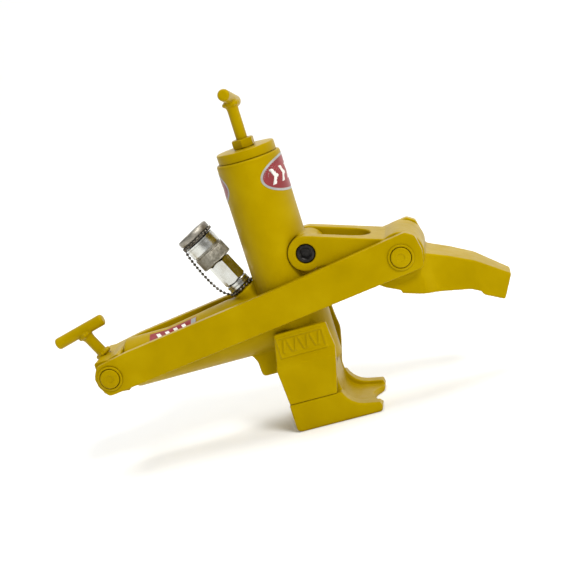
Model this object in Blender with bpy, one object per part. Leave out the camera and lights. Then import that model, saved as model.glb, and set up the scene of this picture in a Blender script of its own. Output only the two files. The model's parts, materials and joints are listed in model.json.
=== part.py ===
# Hydraulic tyre bead breaker. Metres. X runs from the ram end to the claw, Z up the barrel,
# Y is across. The origin is on the underside of the foot, under the barrel's axis.

import math

import bmesh
import bpy
from mathutils import Vector

for old in list(bpy.data.objects):
    bpy.data.objects.remove(old, do_unlink=True)

# Fits
fit_gap = 0.0003            # between pieces that touch or slide
open_pivot_slack = 0.0022   # radial room of the rear link holes round their pin
link_side_gap = 0.0003      # between the barrel's side and the links

# Barrel and cap
barrel_radius = 0.0330
barrel_edge = 0.0012        # chamfer at both ends
barrel_sides = 60
barrel_bottom = 0.0575
barrel_top = 0.2790
cap_radius = 0.0298
cap_height = 0.0100
cap_plug_radius = 0.0270
cap_plug_length = 0.0160
spring_bore_radius = 0.0130
spring_bore_floor = 0.1420
ram_bore_radius = 0.0220
ram_bore_ceiling = 0.1340

# Foot ram, its pull rod and return spring
foot_ram_radius = 0.0200
foot_ram_bottom = 0.0360
foot_ram_top = 0.1300
ram_gland_radius = 0.0262
ram_gland_height = 0.0125
ram_seal_height = 0.0045
pull_rod_radius = 0.0050
spring_plate_height = 0.0050
pull_nut_flats = 0.0160
pull_nut_height = 0.0065
foot_spring_radius = 0.0095
foot_spring_wire = 0.0018
foot_spring_turns = 9

# Clamp ram housing
ram_axis_height = 0.1062
housing_radius = 0.0260
housing_root_radius = 0.0325
housing_end = -0.1830
housing_edge = 0.0020       # chamfer at the open end
housing_sides = 48
housing_taper_start = -0.1350
clamp_bore_radius = 0.0180
clamp_bore_end = -0.0450
clamp_rod_radius = 0.0100
clamp_piston_length = 0.0160
clamp_gland_depth = 0.0130
clamp_gland_recess = 0.0005
wiper_depth = 0.0040
clamp_spring_radius = 0.0138
clamp_spring_wire = 0.0018
clamp_spring_turns = 8

# Pins and links
crosshead_pin_reach = 0.0143    # from the housing's end to the rear pin
pivot_x = 0.0316
pivot_height = 0.1738
claw_pin_x = 0.1221
claw_pin_height = 0.1471
pin_radius = 0.0100
pin_proud = 0.0032
ring_thickness = 0.0014
ring_width = 0.0030         # of each pin ring, beyond its pin
link_thickness = 0.0100
link_half_width = 0.0182
link_tail = 0.0155          # past the rear pin
link_head = 0.0217          # past the claw pin

# Claw arm
arm_side_gap = 0.0005       # between the arm and each link
boss_radius = 0.0180
boss_pocket_gap = 0.0005    # radial room of the arm's ends in the barrel's pockets
claw_boss_proud = 0.0006    # of the arm's sides
claw_boss_radius = 0.0230
lug_radius = 0.0170
claw_boss_sides = 48
lug_half_width = 0.0180
slot_length = 0.0623        # from the pivot to the slot's round end
beak_half_width = 0.0258
beak_blend = 0.0200         # length over which the arm narrows to the beak
beak_tip_half_width = 0.0130
pivot_screw_head = 0.0090
pivot_screw_head_height = 0.0090
pivot_shoulder = 0.0080
pivot_key_flats = 0.0100
pivot_key_depth = 0.0055
pivot_bush_wall = 0.0020

# Crosshead and T-handles
crosshead_length = 0.0290
crosshead_half_height = 0.0180
crosshead_rod_depth = 0.0165
stub_pin_inner = 0.0123     # where the crosshead's two stub pins start, from the middle
handle_bar_radius = 0.00625
handle_bar_length = 0.0585
handle_stem_radius = 0.0058
top_handle_rise = 0.0607     # from the barrel's top to the bar's middle
top_handle_tilt = math.radians(13)
rear_handle_lean = math.radians(26)
rear_handle_reach = 0.0399  # along the stem, from its foot to the bar
rear_bar_slope = math.radians(13.6)
rear_bar_offset = -0.0025   # the bar's middle from the stem, along the bar
lock_nut_flats = 0.0205
lock_nut_height = 0.0088

# Foot
cheek_thickness = 0.0100
foot_heel = -0.0288
foot_toe = 0.0615
foot_block_height = 0.0300
toe_height = 0.0097
rim_width = 0.0130
channel_depth = 0.0045
saddle_radius = 0.0250
web_height = 0.0500
web_front = 0.0245
toe_notch_half_width = 0.0220
toe_notch_depth = 0.0100
toe_slope = 0.19            # of the toe's top, rise over run
cheek_top = 0.1035
cheek_step_height = 0.0700
cheek_step_depth = 0.0042
cheek_ledge_rise = 0.0065   # of the slope that joins the cheek's two outer faces
foot_pin_radius = 0.0040
foot_pin_height = 0.0430

# Port, coupler, cap and chain
port_reach = 0.0139             # from the barrel's side to the coupler's foot
port_height = 0.1546
port_lean = math.radians(25.8)
port_boss_radius = 0.0145
port_boss_sink = 0.0260         # into the casting
port_neck_radius = 0.0104
port_neck_length = 0.0045
port_depth = 0.0400
oilway_radius = 0.0030
adapter_radius = 0.0125
adapter_height = 0.0070
adapter_stub_radius = 0.0075
adapter_stub_length = 0.0100
coupler_flats = 0.0220
coupler_hex_length = 0.0270
coupler_nose_radius = 0.0130
collar_length = 0.0290
collar_radius = 0.0172
knurl_share = 0.48              # of the collar's length
coupler_socket_radius = 0.0060
coupler_socket_depth = 0.0150
cap_disc_radius = 0.0180
cap_disc_height = 0.0070
cap_neck_radius = 0.0156
cap_neck_height = 0.0036
cap_plug_depth = 0.0120
chain_radius = 0.0015

# Worked out from the values above
foot_half_width = barrel_radius + cheek_thickness
ring_radius = pin_radius + ring_width
crosshead_pin_x = housing_end - crosshead_pin_reach
link_inner = barrel_radius + link_side_gap
link_outer = link_inner + link_thickness
arm_half_width = link_inner - arm_side_gap
slot_half_width = lug_half_width + fit_gap
pin_half_length = link_outer + pin_proud
link_run = Vector((claw_pin_x - crosshead_pin_x, 0, claw_pin_height - ram_axis_height))
link_length = link_run.length
link_slope = math.atan2(link_run.z, link_run.x)
port_axis = Vector((-math.sin(port_lean), 0, math.cos(port_lean)))
port_base = Vector((-barrel_radius - port_reach, 0, port_height))


# Shapes

def material(name, colour, roughness, metallic):
    made = bpy.data.materials.new(name)
    made.use_nodes = True
    shader = made.node_tree.nodes["Principled BSDF"]
    shader.inputs["Base Color"].default_value = (*colour, 1)
    shader.inputs["Roughness"].default_value = roughness
    shader.inputs["Metallic"].default_value = metallic
    return made


def keep(name, mesh_data, finish, at=(0, 0, 0), along=None, parent=None):
    # Puts a bmesh into the scene as a named object, its own Z turned to the direction given.
    bmesh.ops.recalc_face_normals(mesh_data, faces=mesh_data.faces)
    mesh = bpy.data.meshes.new(name)
    mesh_data.to_mesh(mesh)
    mesh_data.free()
    mesh.shade_smooth()
    mesh.set_sharp_from_angle(angle=math.radians(32))
    piece = bpy.data.objects.new(name, mesh)
    bpy.context.scene.collection.objects.link(piece)
    piece.location = at
    if along is not None:
        piece.rotation_mode = "QUATERNION"
        piece.rotation_quaternion = Vector(along).to_track_quat("Z", "Y")
    if finish is not None:
        mesh.materials.append(finish)
    if parent is not None:
        hang(piece, parent)
    return piece


def hang(piece, parent):
    piece.parent = parent
    piece.matrix_parent_inverse = parent.matrix_world.inverted()


def axis_empty(name, at):
    empty = bpy.data.objects.new(name, None)
    empty.location = at
    empty.empty_display_size = 0.02
    bpy.context.scene.collection.objects.link(empty)
    bpy.context.view_layer.update()
    return empty


def turned(name, profile, finish, at=(0, 0, 0), along=None, sides=28, parent=None):
    # (radius, height) points spun about Z. A profile whose first and last radius is 0 is closed by
    # flat ends, and any other is a closed loop: a ring.
    capped = profile[0][0] == 0
    corners = profile[1:-1] if capped else profile
    shape = bmesh.new()
    angles = [2 * math.pi * step / sides for step in range(sides)]
    rings = [[shape.verts.new((radius * math.cos(a), radius * math.sin(a), height)) for a in angles]
             for radius, height in corners]
    for lower, upper in zip(rings, rings[1:] if capped else rings[1:] + rings[:1]):
        for step in range(sides):
            after = (step + 1) % sides
            shape.faces.new((lower[step], lower[after], upper[after], upper[step]))
    if capped:
        shape.faces.new(rings[0])
        shape.faces.new(rings[-1])
    return keep(name, shape, finish, at, along, parent)


def solid_of(radius, low, high, chamfer=0.0):
    # Profile of a plain round bar with a chamfer at both ends.
    if chamfer == 0:
        return [(0, low), (radius, low), (radius, high), (0, high)]
    return [(0, low), (radius - chamfer, low), (radius, low + chamfer),
            (radius, high - chamfer), (radius - chamfer, high), (0, high)]


def ring_of(inner, outer, low, high, chamfer=0.0):
    if chamfer == 0:
        return [(inner, low), (outer, low), (outer, high), (inner, high)]
    return [(inner, low), (outer - chamfer, low), (outer, low + chamfer),
            (outer, high - chamfer), (outer - chamfer, high), (inner, high)]


def extruded(name, outline, low, high, finish, at=(0, 0, 0), parent=None, way="Y", along=None):
    # An outline in X and Z pushed along Y, or in X and Y pushed along Z, or in Y and Z pushed along X.
    order = {"X": lambda a, b, c: (c, a, b),
             "Y": lambda a, b, c: (a, c, b),
             "Z": lambda a, b, c: (a, b, c)}[way]
    shape = bmesh.new()
    first = [shape.verts.new(order(a, b, low)) for a, b in outline]
    second = [shape.verts.new(order(a, b, high)) for a, b in outline]
    shape.faces.new(first)
    shape.faces.new(second)
    for index, corner in enumerate(first):
        after = (index + 1) % len(first)
        shape.faces.new((corner, first[after], second[after], second[index]))
    return keep(name, shape, finish, at, along, parent)


def rounded(corners, steps=5):
    # Corners are (a, b) or (a, b, radius). Each radius turns its corner into an arc.
    outline = []
    count = len(corners)
    for index, corner in enumerate(corners):
        here = Vector(corner[:2])
        radius = corner[2] if len(corner) > 2 else 0
        if radius == 0:
            outline.append(tuple(here))
            continue
        back = (Vector(corners[index - 1][:2]) - here).normalized()
        on = (Vector(corners[(index + 1) % count][:2]) - here).normalized()
        half = back.angle(on) / 2
        centre = here + (back + on).normalized() * radius / math.sin(half)
        start = here + back * radius / math.tan(half) - centre
        sweep = start.angle_signed(here + on * radius / math.tan(half) - centre)
        for step in range(steps + 1):
            turn = -sweep * step / steps
            outline.append((centre.x + start.x * math.cos(turn) - start.y * math.sin(turn),
                            centre.y + start.x * math.sin(turn) + start.y * math.cos(turn)))
    return outline


def arc(centre, radius, start, end, steps):
    # Points round a centre, angles in degrees anticlockwise from the first axis.
    angles = [math.radians(start + (end - start) * step / steps) for step in range(steps + 1)]
    return [(centre[0] + radius * math.cos(a), centre[1] + radius * math.sin(a)) for a in angles]


def lofted(name, sections, finish, sides=28, parent=None):
    # Round sections of (x, centre height, radius) joined along X.
    shape = bmesh.new()
    rings = []
    angles = [2 * math.pi * step / sides for step in range(sides)]
    for x, height, radius in sections:
        rings.append([shape.verts.new((x, radius * math.sin(a), height + radius * math.cos(a)))
                      for a in angles])
    for left, right in zip(rings, rings[1:]):
        for step in range(sides):
            after = (step + 1) % sides
            shape.faces.new((left[step], left[after], right[after], right[step]))
    shape.faces.new(rings[0])
    shape.faces.new(rings[-1])
    return keep(name, shape, finish, parent=parent)


def coil(name, finish, radius, wire, low, high, turns, at, along, parent=None):
    # A round-wire spring with its centre line from low to high along its own Z.
    points_per_turn, wire_sides = 10, 5
    rise = high - low
    count = turns * points_per_turn
    shape = bmesh.new()
    rings = []
    for step in range(count + 1):
        turn = 2 * math.pi * step / points_per_turn
        out = Vector((math.cos(turn), math.sin(turn), 0))
        centre = out * radius + Vector((0, 0, low + rise * step / count))
        ring = []
        for side in range(wire_sides):
            angle = 2 * math.pi * side / wire_sides
            ring.append(shape.verts.new(centre + out * wire * math.cos(angle)
                                        + Vector((0, 0, wire * math.sin(angle)))))
        rings.append(ring)
    for one, two in zip(rings, rings[1:]):
        for side in range(wire_sides):
            after = (side + 1) % wire_sides
            shape.faces.new((one[side], one[after], two[after], two[side]))
    shape.faces.new(rings[0])
    shape.faces.new(rings[-1])
    return keep(name, shape, finish, at, along, parent)


def hex_points(flats, turn=0.0):
    corner = flats / math.sqrt(3)
    angles = [turn + math.pi * side / 3 for side in range(6)]
    return [(corner * math.cos(a), corner * math.sin(a)) for a in angles]


def combine(piece, tool, operation):
    change = piece.modifiers.new(tool.name, "BOOLEAN")
    change.operation = operation
    change.object = tool
    change.solver = "EXACT"
    tool.hide_render = True
    tool.display_type = "WIRE"


def join(piece, tool):
    combine(piece, tool, "UNION")


def cut(piece, tool):
    combine(piece, tool, "DIFFERENCE")


yellow = (0.48, 0.33, 0.003)
enamel = material("yellow enamel on cast steel", yellow, 0.38, 0)
plate_paint = material("yellow enamel on steel plate", yellow, 0.36, 0)
black_oxide = material("black oxide screw steel", (0.02, 0.02, 0.022), 0.45, 0.8)
zinc = material("zinc plated steel", (0.55, 0.54, 0.50), 0.32, 1)
ground_steel = material("ground steel", (0.50, 0.50, 0.50), 0.28, 1)
spring_steel = material("spring steel", (0.10, 0.10, 0.11), 0.4, 1)
bronze = material("sintered bronze", (0.45, 0.28, 0.12), 0.5, 1)
seal_rubber = material("nitrile rubber", (0.015, 0.015, 0.015), 0.6, 0)

pivot = Vector((pivot_x, 0, pivot_height))
claw_pin = Vector((claw_pin_x, 0, claw_pin_height))
crosshead_pin = Vector((crosshead_pin_x, 0, ram_axis_height))
across = (0, 1, 0)
backward = (-1, 0, 0)

claw_axis = axis_empty("claw_axis", pivot)
link_axis = axis_empty("link_axis", claw_pin)
clamp_axis = axis_empty("clamp_axis", crosshead_pin)
foot_axis = axis_empty("foot_axis", (0, 0, 0))
top_handle_axis = axis_empty("top_handle_axis", (0, 0, barrel_top))
collar_axis = axis_empty("collar_axis", port_base)
dust_cap_axis = axis_empty("dust_cap_axis", port_base)


# Body casting: barrel, clamp housing, heel web, pivot lug and port boss in one

casting = turned("body_casting", solid_of(barrel_radius, barrel_bottom, barrel_top, barrel_edge), enamel,
                 sides=barrel_sides)

housing_base = ram_axis_height - housing_radius
join(casting, lofted("housing_form", [
    (housing_end, ram_axis_height, housing_radius - housing_edge),
    (housing_end + housing_edge, ram_axis_height, housing_radius),
    (housing_taper_start, ram_axis_height, housing_radius),
    (-2 * barrel_radius, housing_base + housing_root_radius - 0.001, housing_root_radius - 0.001),
    (-0.3 * barrel_radius, housing_base + housing_root_radius, housing_root_radius)], None,
    sides=housing_sides))

heel_x = -barrel_radius - 0.0190
join(casting, extruded("heel_web_form", rounded([
    (heel_x - 0.006, housing_base + 0.008), (heel_x, housing_base - 0.006, 0.004),
    (heel_x + 0.0005, barrel_bottom + 0.0008, 0.004), (-barrel_radius * 0.85, barrel_bottom + 0.0008),
    (-barrel_radius * 0.85, housing_base + 0.008)], 4),
    -0.014, 0.014, None))

lug = extruded("pivot_lug_form", [(-pivot_x * 0.5, -lug_radius)]
               + arc((0, 0), lug_radius, -90, 90, 16) + [(-pivot_x * 0.5, lug_radius)],
               -lug_half_width, lug_half_width, None, at=pivot)

join(casting, turned("port_boss_form", [
    (0, -port_boss_sink), (port_boss_radius, -port_boss_sink), (port_boss_radius, -port_neck_length - 0.001),
    (port_boss_radius - 0.001, -port_neck_length), (port_neck_radius, -port_neck_length),
    (port_neck_radius, -fit_gap), (0, -fit_gap)], None, at=port_base, along=port_axis, sides=24))

pocket_radius = boss_radius + boss_pocket_gap
for side, sign in (("near", -1), ("far", 1)):
    cut(casting, turned(f"pivot_pocket_{side}", solid_of(pocket_radius, lug_half_width, barrel_radius * 1.3),
                        None, at=pivot, along=(0, sign, 0), sides=48))
join(casting, lug)

gland_seat = barrel_bottom + ram_gland_height + fit_gap
cap_seat = barrel_top - cap_plug_length
cut(casting, turned("barrel_bore", [
    (0, barrel_bottom - 0.01), (ram_gland_radius + fit_gap, barrel_bottom - 0.01),
    (ram_gland_radius + fit_gap, gland_seat), (ram_bore_radius, gland_seat),
    (ram_bore_radius, ram_bore_ceiling), (pull_rod_radius + fit_gap, ram_bore_ceiling),
    (pull_rod_radius + fit_gap, spring_bore_floor), (spring_bore_radius, spring_bore_floor),
    (spring_bore_radius, cap_seat), (cap_plug_radius + fit_gap, cap_seat),
    (cap_plug_radius + fit_gap, barrel_top + 0.01), (0, barrel_top + 0.01)], None, sides=28))

clamp_mouth = housing_end - 0.01
cut(casting, turned("clamp_bore", solid_of(clamp_bore_radius, -clamp_bore_end, -clamp_mouth), None,
                    at=(0, 0, ram_axis_height), along=backward, sides=28))
stub_room = adapter_stub_radius + fit_gap
stub_floor = -adapter_stub_length - fit_gap
cut(casting, turned("port_bore", [
    (0, -port_depth), (oilway_radius, -port_depth), (oilway_radius, stub_floor), (stub_room, stub_floor),
    (stub_room, 0.01), (0, 0.01)], None, at=port_base, along=port_axis, sides=16))
cut(casting, turned("cross_oilway", solid_of(oilway_radius, 0.8 * ram_bore_radius, -clamp_bore_end + 0.005),
                    None, at=(0, 0, ram_axis_height + 0.4 * clamp_bore_radius), along=backward, sides=10))
cut(casting, turned("bush_bore", solid_of(pivot_shoulder + pivot_bush_wall + 2 * fit_gap,
                    -lug_half_width - 0.01, lug_half_width + 0.01), None, at=pivot, along=across, sides=20))

turned("barrel_cap", [
    (0, barrel_top - cap_plug_length + fit_gap), (cap_plug_radius, barrel_top - cap_plug_length + fit_gap),
    (cap_plug_radius, barrel_top + fit_gap), (cap_radius, barrel_top + fit_gap),
    (cap_radius, barrel_top + cap_height - 0.0015), (cap_radius - 0.0015, barrel_top + cap_height),
    (handle_stem_radius + fit_gap, barrel_top + cap_height),
    (handle_stem_radius + fit_gap, barrel_top - 0.006), (0, barrel_top - 0.006)], enamel)

nut_base = barrel_top + cap_height + fit_gap
lock_nut = extruded("handle_lock_nut", hex_points(lock_nut_flats), nut_base, nut_base + lock_nut_height,
                    enamel, way="Z")
cut(lock_nut, turned("lock_nut_bore", solid_of(handle_stem_radius + fit_gap, nut_base - 0.01,
                     nut_base + lock_nut_height + 0.01), None, sides=16))


# T-handles: a stem and a cross bar each

bar_half = handle_bar_length / 2
bar_profile = solid_of(handle_bar_radius, -bar_half, bar_half, 0.0025)


def t_handle(name, foot, weld, bar_way, parent, flare, bar_offset=0.0):
    run = Vector(weld) - Vector(foot)
    bar_centre = Vector(weld) + Vector(bar_way) * bar_offset
    bar = turned(f"{name}_bar", bar_profile, enamel, at=bar_centre, along=bar_way, sides=18, parent=parent)
    stem = turned(f"{name}_stem", [
        (0, 0), (handle_stem_radius, 0), (handle_stem_radius, run.length - 0.011),
        (handle_stem_radius + flare, run.length - handle_bar_radius * 0.6),
        (0, run.length - handle_bar_radius * 0.6)], enamel, at=foot, along=run, sides=16, parent=parent)
    room = turned(f"{name}_bar_room", solid_of(handle_bar_radius + fit_gap, -bar_half, bar_half), None,
                  at=bar_centre, along=bar_way, sides=18, parent=parent)
    cut(stem, room)
    return bar, stem


t_handle("top_handle", (0, 0, barrel_top - 0.006 + fit_gap), (0, 0, barrel_top + top_handle_rise),
         (0, -math.cos(top_handle_tilt), math.sin(top_handle_tilt)), top_handle_axis, 0.0003)

crosshead_front = housing_end - 2 * fit_gap
crosshead_back = crosshead_front - crosshead_length
crosshead_top = ram_axis_height + crosshead_half_height
rear_up = Vector((-math.sin(rear_handle_lean), 0, math.cos(rear_handle_lean)))
rear_bar_way = Vector((math.cos(rear_bar_slope), 0, math.sin(rear_bar_slope)))
stem_foot = Vector((crosshead_back + 0.0066, 0, crosshead_top - 0.0067))
rear_weld = stem_foot + rear_up * rear_handle_reach
t_handle("rear_handle", stem_foot, rear_weld, rear_bar_way, clamp_axis, 0.0003, rear_bar_offset)


# Clamp ram: crosshead, pin, rod, piston, seal, spring and glands

crosshead = extruded("crosshead", rounded([
    (crosshead_back, ram_axis_height - crosshead_half_height, 0.005),
    (crosshead_front, ram_axis_height - crosshead_half_height - 0.002, 0.002),
    (crosshead_front, crosshead_top + 0.0035, 0.003),
    (crosshead_front - 0.0135, crosshead_top - 0.001, 0.006),
    (crosshead_back, crosshead_top - 0.0005, 0.003)], 4),
    -arm_half_width, arm_half_width, enamel, parent=clamp_axis)
cut(crosshead, turned("rear_stem_bore", solid_of(handle_stem_radius + fit_gap, -fit_gap, 0.03), None,
                      at=stem_foot, along=rear_up, sides=16, parent=clamp_axis))
rod_end = crosshead_front - crosshead_rod_depth
cut(crosshead, turned("rod_seat", solid_of(clamp_rod_radius + fit_gap, -(crosshead_front + 0.01),
                      -rod_end + fit_gap), None, at=(0, 0, ram_axis_height), along=backward, sides=24,
                      parent=clamp_axis))


def pin_ring(name, at, sign, parent):
    turned(name, ring_of(pin_radius + fit_gap, ring_radius, link_outer + fit_gap,
           link_outer + fit_gap + ring_thickness, 0.0004), enamel, at=at, along=(0, sign, 0), sides=20,
           parent=parent)


for side, sign in (("near", -1), ("far", 1)):
    cut(crosshead, turned(f"stub_pin_bore_{side}",
                          solid_of(pin_radius + fit_gap, stub_pin_inner - fit_gap, 0.06), None,
                          at=crosshead_pin, along=(0, sign, 0), sides=24, parent=clamp_axis))
    turned(f"crosshead_pin_{side}", solid_of(pin_radius, stub_pin_inner, pin_half_length, 0.0008), enamel,
           at=crosshead_pin, along=(0, sign, 0), sides=24, parent=clamp_axis)
    pin_ring(f"crosshead_pin_ring_{side}", crosshead_pin, sign, clamp_axis)

piston_front = clamp_bore_end - 0.0030
piston_back = piston_front - clamp_piston_length
ram_line = (0, 0, ram_axis_height)
turned("clamp_rod", solid_of(clamp_rod_radius, -piston_back + fit_gap, -rod_end, 0.0008), ground_steel,
       at=ram_line, along=backward, sides=20, parent=clamp_axis)
piston_radius = clamp_bore_radius - fit_gap
groove_low = -piston_front + clamp_piston_length * 0.35
groove_high = -piston_front + clamp_piston_length * 0.65
turned("clamp_piston", [
    (0, -piston_front), (piston_radius, -piston_front), (piston_radius, groove_low),
    (piston_radius - 0.003, groove_low), (piston_radius - 0.003, groove_high), (piston_radius, groove_high),
    (piston_radius, -piston_back), (0, -piston_back)], ground_steel, at=ram_line, along=backward, sides=24,
    parent=clamp_axis)
turned("clamp_piston_seal", ring_of(piston_radius - 0.003 + fit_gap, piston_radius, groove_low + fit_gap,
       groove_high - fit_gap), seal_rubber, at=ram_line, along=backward, sides=24, parent=clamp_axis)

gland_face = -housing_end - clamp_gland_recess
gland_inner_end = gland_face - clamp_gland_depth
turned("clamp_gland", [
    (clamp_rod_radius + fit_gap, gland_inner_end), (clamp_bore_radius - fit_gap, gland_inner_end),
    (clamp_bore_radius - fit_gap, gland_face), (clamp_rod_radius + 0.003, gland_face),
    (clamp_rod_radius + 0.003, gland_face - wiper_depth),
    (clamp_rod_radius + fit_gap, gland_face - wiper_depth)], ground_steel, at=ram_line, along=backward,
    sides=24)
turned("clamp_rod_wiper", ring_of(clamp_rod_radius + fit_gap, clamp_rod_radius + 0.003 - fit_gap,
       gland_face - wiper_depth + fit_gap, gland_face - fit_gap), seal_rubber, at=ram_line, along=backward,
       sides=20)
coil("clamp_spring", spring_steel, clamp_spring_radius, clamp_spring_wire,
     -piston_back + clamp_spring_wire + fit_gap, gland_inner_end - clamp_spring_wire - fit_gap,
     clamp_spring_turns, ram_line, backward)


# Side links: outlines in their own frame, from the rear pin along the link

link_outline = rounded([
    (-link_tail + 0.0060, -link_half_width + 0.0008, 0.006), (-link_tail, -0.0040, 0.012),
    (-link_tail, 0.0060, 0.010), (-link_tail + 0.0070, link_half_width - 0.0022, 0.004),
    (0.0250, link_half_width), (link_length * 0.6, link_half_width + 0.0002),
    (link_length + 0.0127, link_half_width + 0.0030, 0.004), (link_length + 0.0204, 0.0150, 0.005),
    (link_length + link_head, -0.0023, 0.010), (link_length + 0.0165, -link_half_width + 0.0002, 0.005)], 4)
slope_cos, slope_sin = math.cos(link_slope), math.sin(link_slope)
laid_outline = [(a * slope_cos - b * slope_sin, a * slope_sin + b * slope_cos) for a, b in link_outline]
for side, low, high in (("near", -link_outer, -link_inner), ("far", link_inner, link_outer)):
    link = extruded(f"side_link_{side}", laid_outline, low, high, plate_paint, at=crosshead_pin,
                    parent=link_axis)
    for end, centre, radius in (("rear", crosshead_pin, pin_radius + open_pivot_slack),
                                ("front", claw_pin, pin_radius + fit_gap)):
        cut(link, turned(f"link_hole_{side}_{end}", solid_of(radius, link_inner - 0.01, link_outer + 0.01),
                         None, at=centre, along=(0, -1 if side == "near" else 1, 0), sides=24,
                         parent=link_axis))


# Claw arm: fork on the pivot, boss for the link pin, hooked beak

claw_run = claw_pin - pivot
boss = (claw_run.x, claw_run.z)
top_slope = math.radians(-18.0)
arm_outline = arc((0, 0), boss_radius, 72, 295, 22) + [
    (0.0160, -0.0175), (boss[0] - 0.0238, boss[1] - 0.0280), (boss[0] + 0.0068, boss[1] - 0.0428),
    (boss[0] + 0.0160, boss[1] - 0.0120), (boss[0] - 0.0126, boss[1] + 0.0199)]
arm_side = arm_half_width - claw_boss_proud
claw_arm = extruded("claw_arm", arm_outline, -arm_side, arm_side, enamel, at=pivot, parent=claw_axis)
join(claw_arm, turned("claw_boss_form", solid_of(claw_boss_radius, -arm_half_width, arm_half_width), None,
                      at=claw_pin, along=across, sides=claw_boss_sides, parent=claw_axis))

tip = (boss[0] + 0.0976, boss[1] - 0.0510)       # upper corner of the tip
beak_root = arm_side - 0.0002
beak = extruded("beak_form", rounded([
    (boss[0] - 0.0100, boss[1] - 0.0380), (boss[0] + 0.0075, boss[1] - 0.0436, 0.004),
    (tip[0] - 0.0410, tip[1] - 0.0036, 0.004), (tip[0] - 0.0326, tip[1] - 0.0085, 0.0015),
    (tip[0] - 0.0310, tip[1] - 0.0126, 0.0015), (tip[0] - 0.0121, tip[1] - 0.0240, 0.002),
    (tip[0] + 0.0004, tip[1] - 0.0006, 0.0015),
    (tip[0] - 0.0304, tip[1] + 0.0235, 0.020), (tip[0] - 0.0535, tip[1] + 0.0355, 0.020),
    (boss[0] + 0.0180, boss[1] - 0.0040), (boss[0] - 0.0100, boss[1])], 4),
    -beak_root, beak_root, None, at=pivot, parent=claw_axis)
blend_start = boss[0] + 0.0095
blend_end = blend_start + beak_blend
beak_plan = [(boss[0] - 0.02, beak_root + 0.001), (blend_start, beak_root + 0.001)]
beak_plan += [(blend_start + beak_blend * share, beak_half_width
               + (beak_root + 0.001 - beak_half_width) * (0.5 + 0.5 * math.cos(math.pi * share)))
              for share in (0.2, 0.35, 0.5, 0.65, 0.8)]
beak_plan += [(blend_end, beak_half_width), (tip[0] - 0.0330, beak_half_width * 0.88),
              (tip[0] + 0.0040, beak_tip_half_width)]
combine(beak, extruded("beak_plan_form", [(a, -b) for a, b in beak_plan] + beak_plan[::-1], -0.2, 0.1, None,
                       at=pivot, parent=claw_axis, way="Z"), "INTERSECT")
join(claw_arm, beak)

slot = extruded("arm_slot", [(-0.04, -slot_half_width)]
                + arc((slot_length - slot_half_width, 0), slot_half_width, -90, 90, 12)
                + [(-0.04, slot_half_width)], -0.12, 0.08, None, at=pivot, parent=claw_axis, way="Z")
slot.rotation_euler = (0, -top_slope, 0)
cut(claw_arm, slot)
cut(claw_arm, turned("claw_pin_bore", solid_of(pin_radius + fit_gap, -0.06, 0.06), None,
                     at=claw_pin, along=across, sides=24, parent=claw_axis))
head_seat = arm_side - pivot_screw_head_height - 0.0005
shoulder_room = pivot_shoulder + fit_gap
head_room = pivot_screw_head + 0.0010
cut(claw_arm, turned("pivot_screw_bore", [
    (0, -0.06), (shoulder_room, -0.06), (shoulder_room, head_seat - fit_gap),
    (head_room, head_seat - fit_gap), (head_room, 0.06), (0, 0.06)], None, at=pivot, along=(0, -1, 0),
    sides=24, parent=claw_axis))
turned("claw_pin", solid_of(pin_radius, -pin_half_length, pin_half_length, 0.0008), enamel,
       at=claw_pin, along=across, sides=24, parent=claw_axis)
for side, sign in (("near", -1), ("far", 1)):
    pin_ring(f"claw_pin_ring_{side}", claw_pin, sign, claw_axis)

pivot_screw = turned("pivot_screw", [
    (0, -arm_side + 0.001), (pivot_shoulder - 0.001, -arm_side + 0.001),
    (pivot_shoulder, -arm_side + 0.002), (pivot_shoulder, head_seat), (pivot_screw_head, head_seat),
    (pivot_screw_head, head_seat + pivot_screw_head_height - 0.0012),
    (pivot_screw_head - 0.0012, head_seat + pivot_screw_head_height),
    (0, head_seat + pivot_screw_head_height)], black_oxide, at=pivot, along=(0, -1, 0), sides=20,
    parent=claw_axis)
hex_key = extruded("pivot_screw_hex", hex_points(pivot_key_flats, math.pi / 6),
                   -(head_seat + pivot_screw_head_height + 0.01),
                   -(head_seat + pivot_screw_head_height - pivot_key_depth), None, at=pivot,
                   parent=claw_axis)
cut(pivot_screw, hex_key)
turned("pivot_bush", ring_of(pivot_shoulder + fit_gap, pivot_shoulder + fit_gap + pivot_bush_wall,
       -lug_half_width, lug_half_width), bronze, at=pivot, along=across, sides=20)


# Foot: block with toe, channel and web, two cheeks, the ram and what pulls it back

saddle_x = web_front + 0.0010
foot_block = extruded("foot_block", rounded([
    (foot_heel, 0, 0.005), (foot_toe - 0.001, 0, 0.002), (foot_toe + 0.0007, toe_height * 0.4, 0.001),
    (foot_toe, toe_height, 0.0015),
    (saddle_x, toe_height + toe_slope * (foot_toe - saddle_x), saddle_radius),
    (saddle_x, web_height), (foot_heel + 0.0002, web_height)], 8),
    -foot_half_width, foot_half_width, enamel, parent=foot_axis)
cheek_inner = barrel_radius + fit_gap
for side, sign in (("near", -1), ("far", 1)):
    low, high = sorted((sign * (cheek_inner - fit_gap), sign * (foot_half_width + 0.01)))
    cut(foot_block, extruded(f"cheek_seat_{side}", [
        (foot_heel - 0.01, foot_block_height), (foot_toe, foot_block_height),
        (foot_toe, foot_block_height + 0.04), (foot_heel - 0.01, foot_block_height + 0.04)],
        low, high, None, parent=foot_axis))
channel_half = foot_half_width - rim_width
cut(foot_block, extruded("toe_channel", rounded([
    (foot_toe + 0.01, toe_height - channel_depth - 0.0019),
    (web_front, toe_height - channel_depth + toe_slope * (foot_toe - web_front), saddle_radius * 0.64),
    (web_front, foot_block_height + 0.04), (foot_toe + 0.01, foot_block_height + 0.04)], 8),
    -channel_half, channel_half, None, parent=foot_axis))
notch_radius = (toe_notch_half_width ** 2 + toe_notch_depth ** 2) / (2 * toe_notch_depth)
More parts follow.
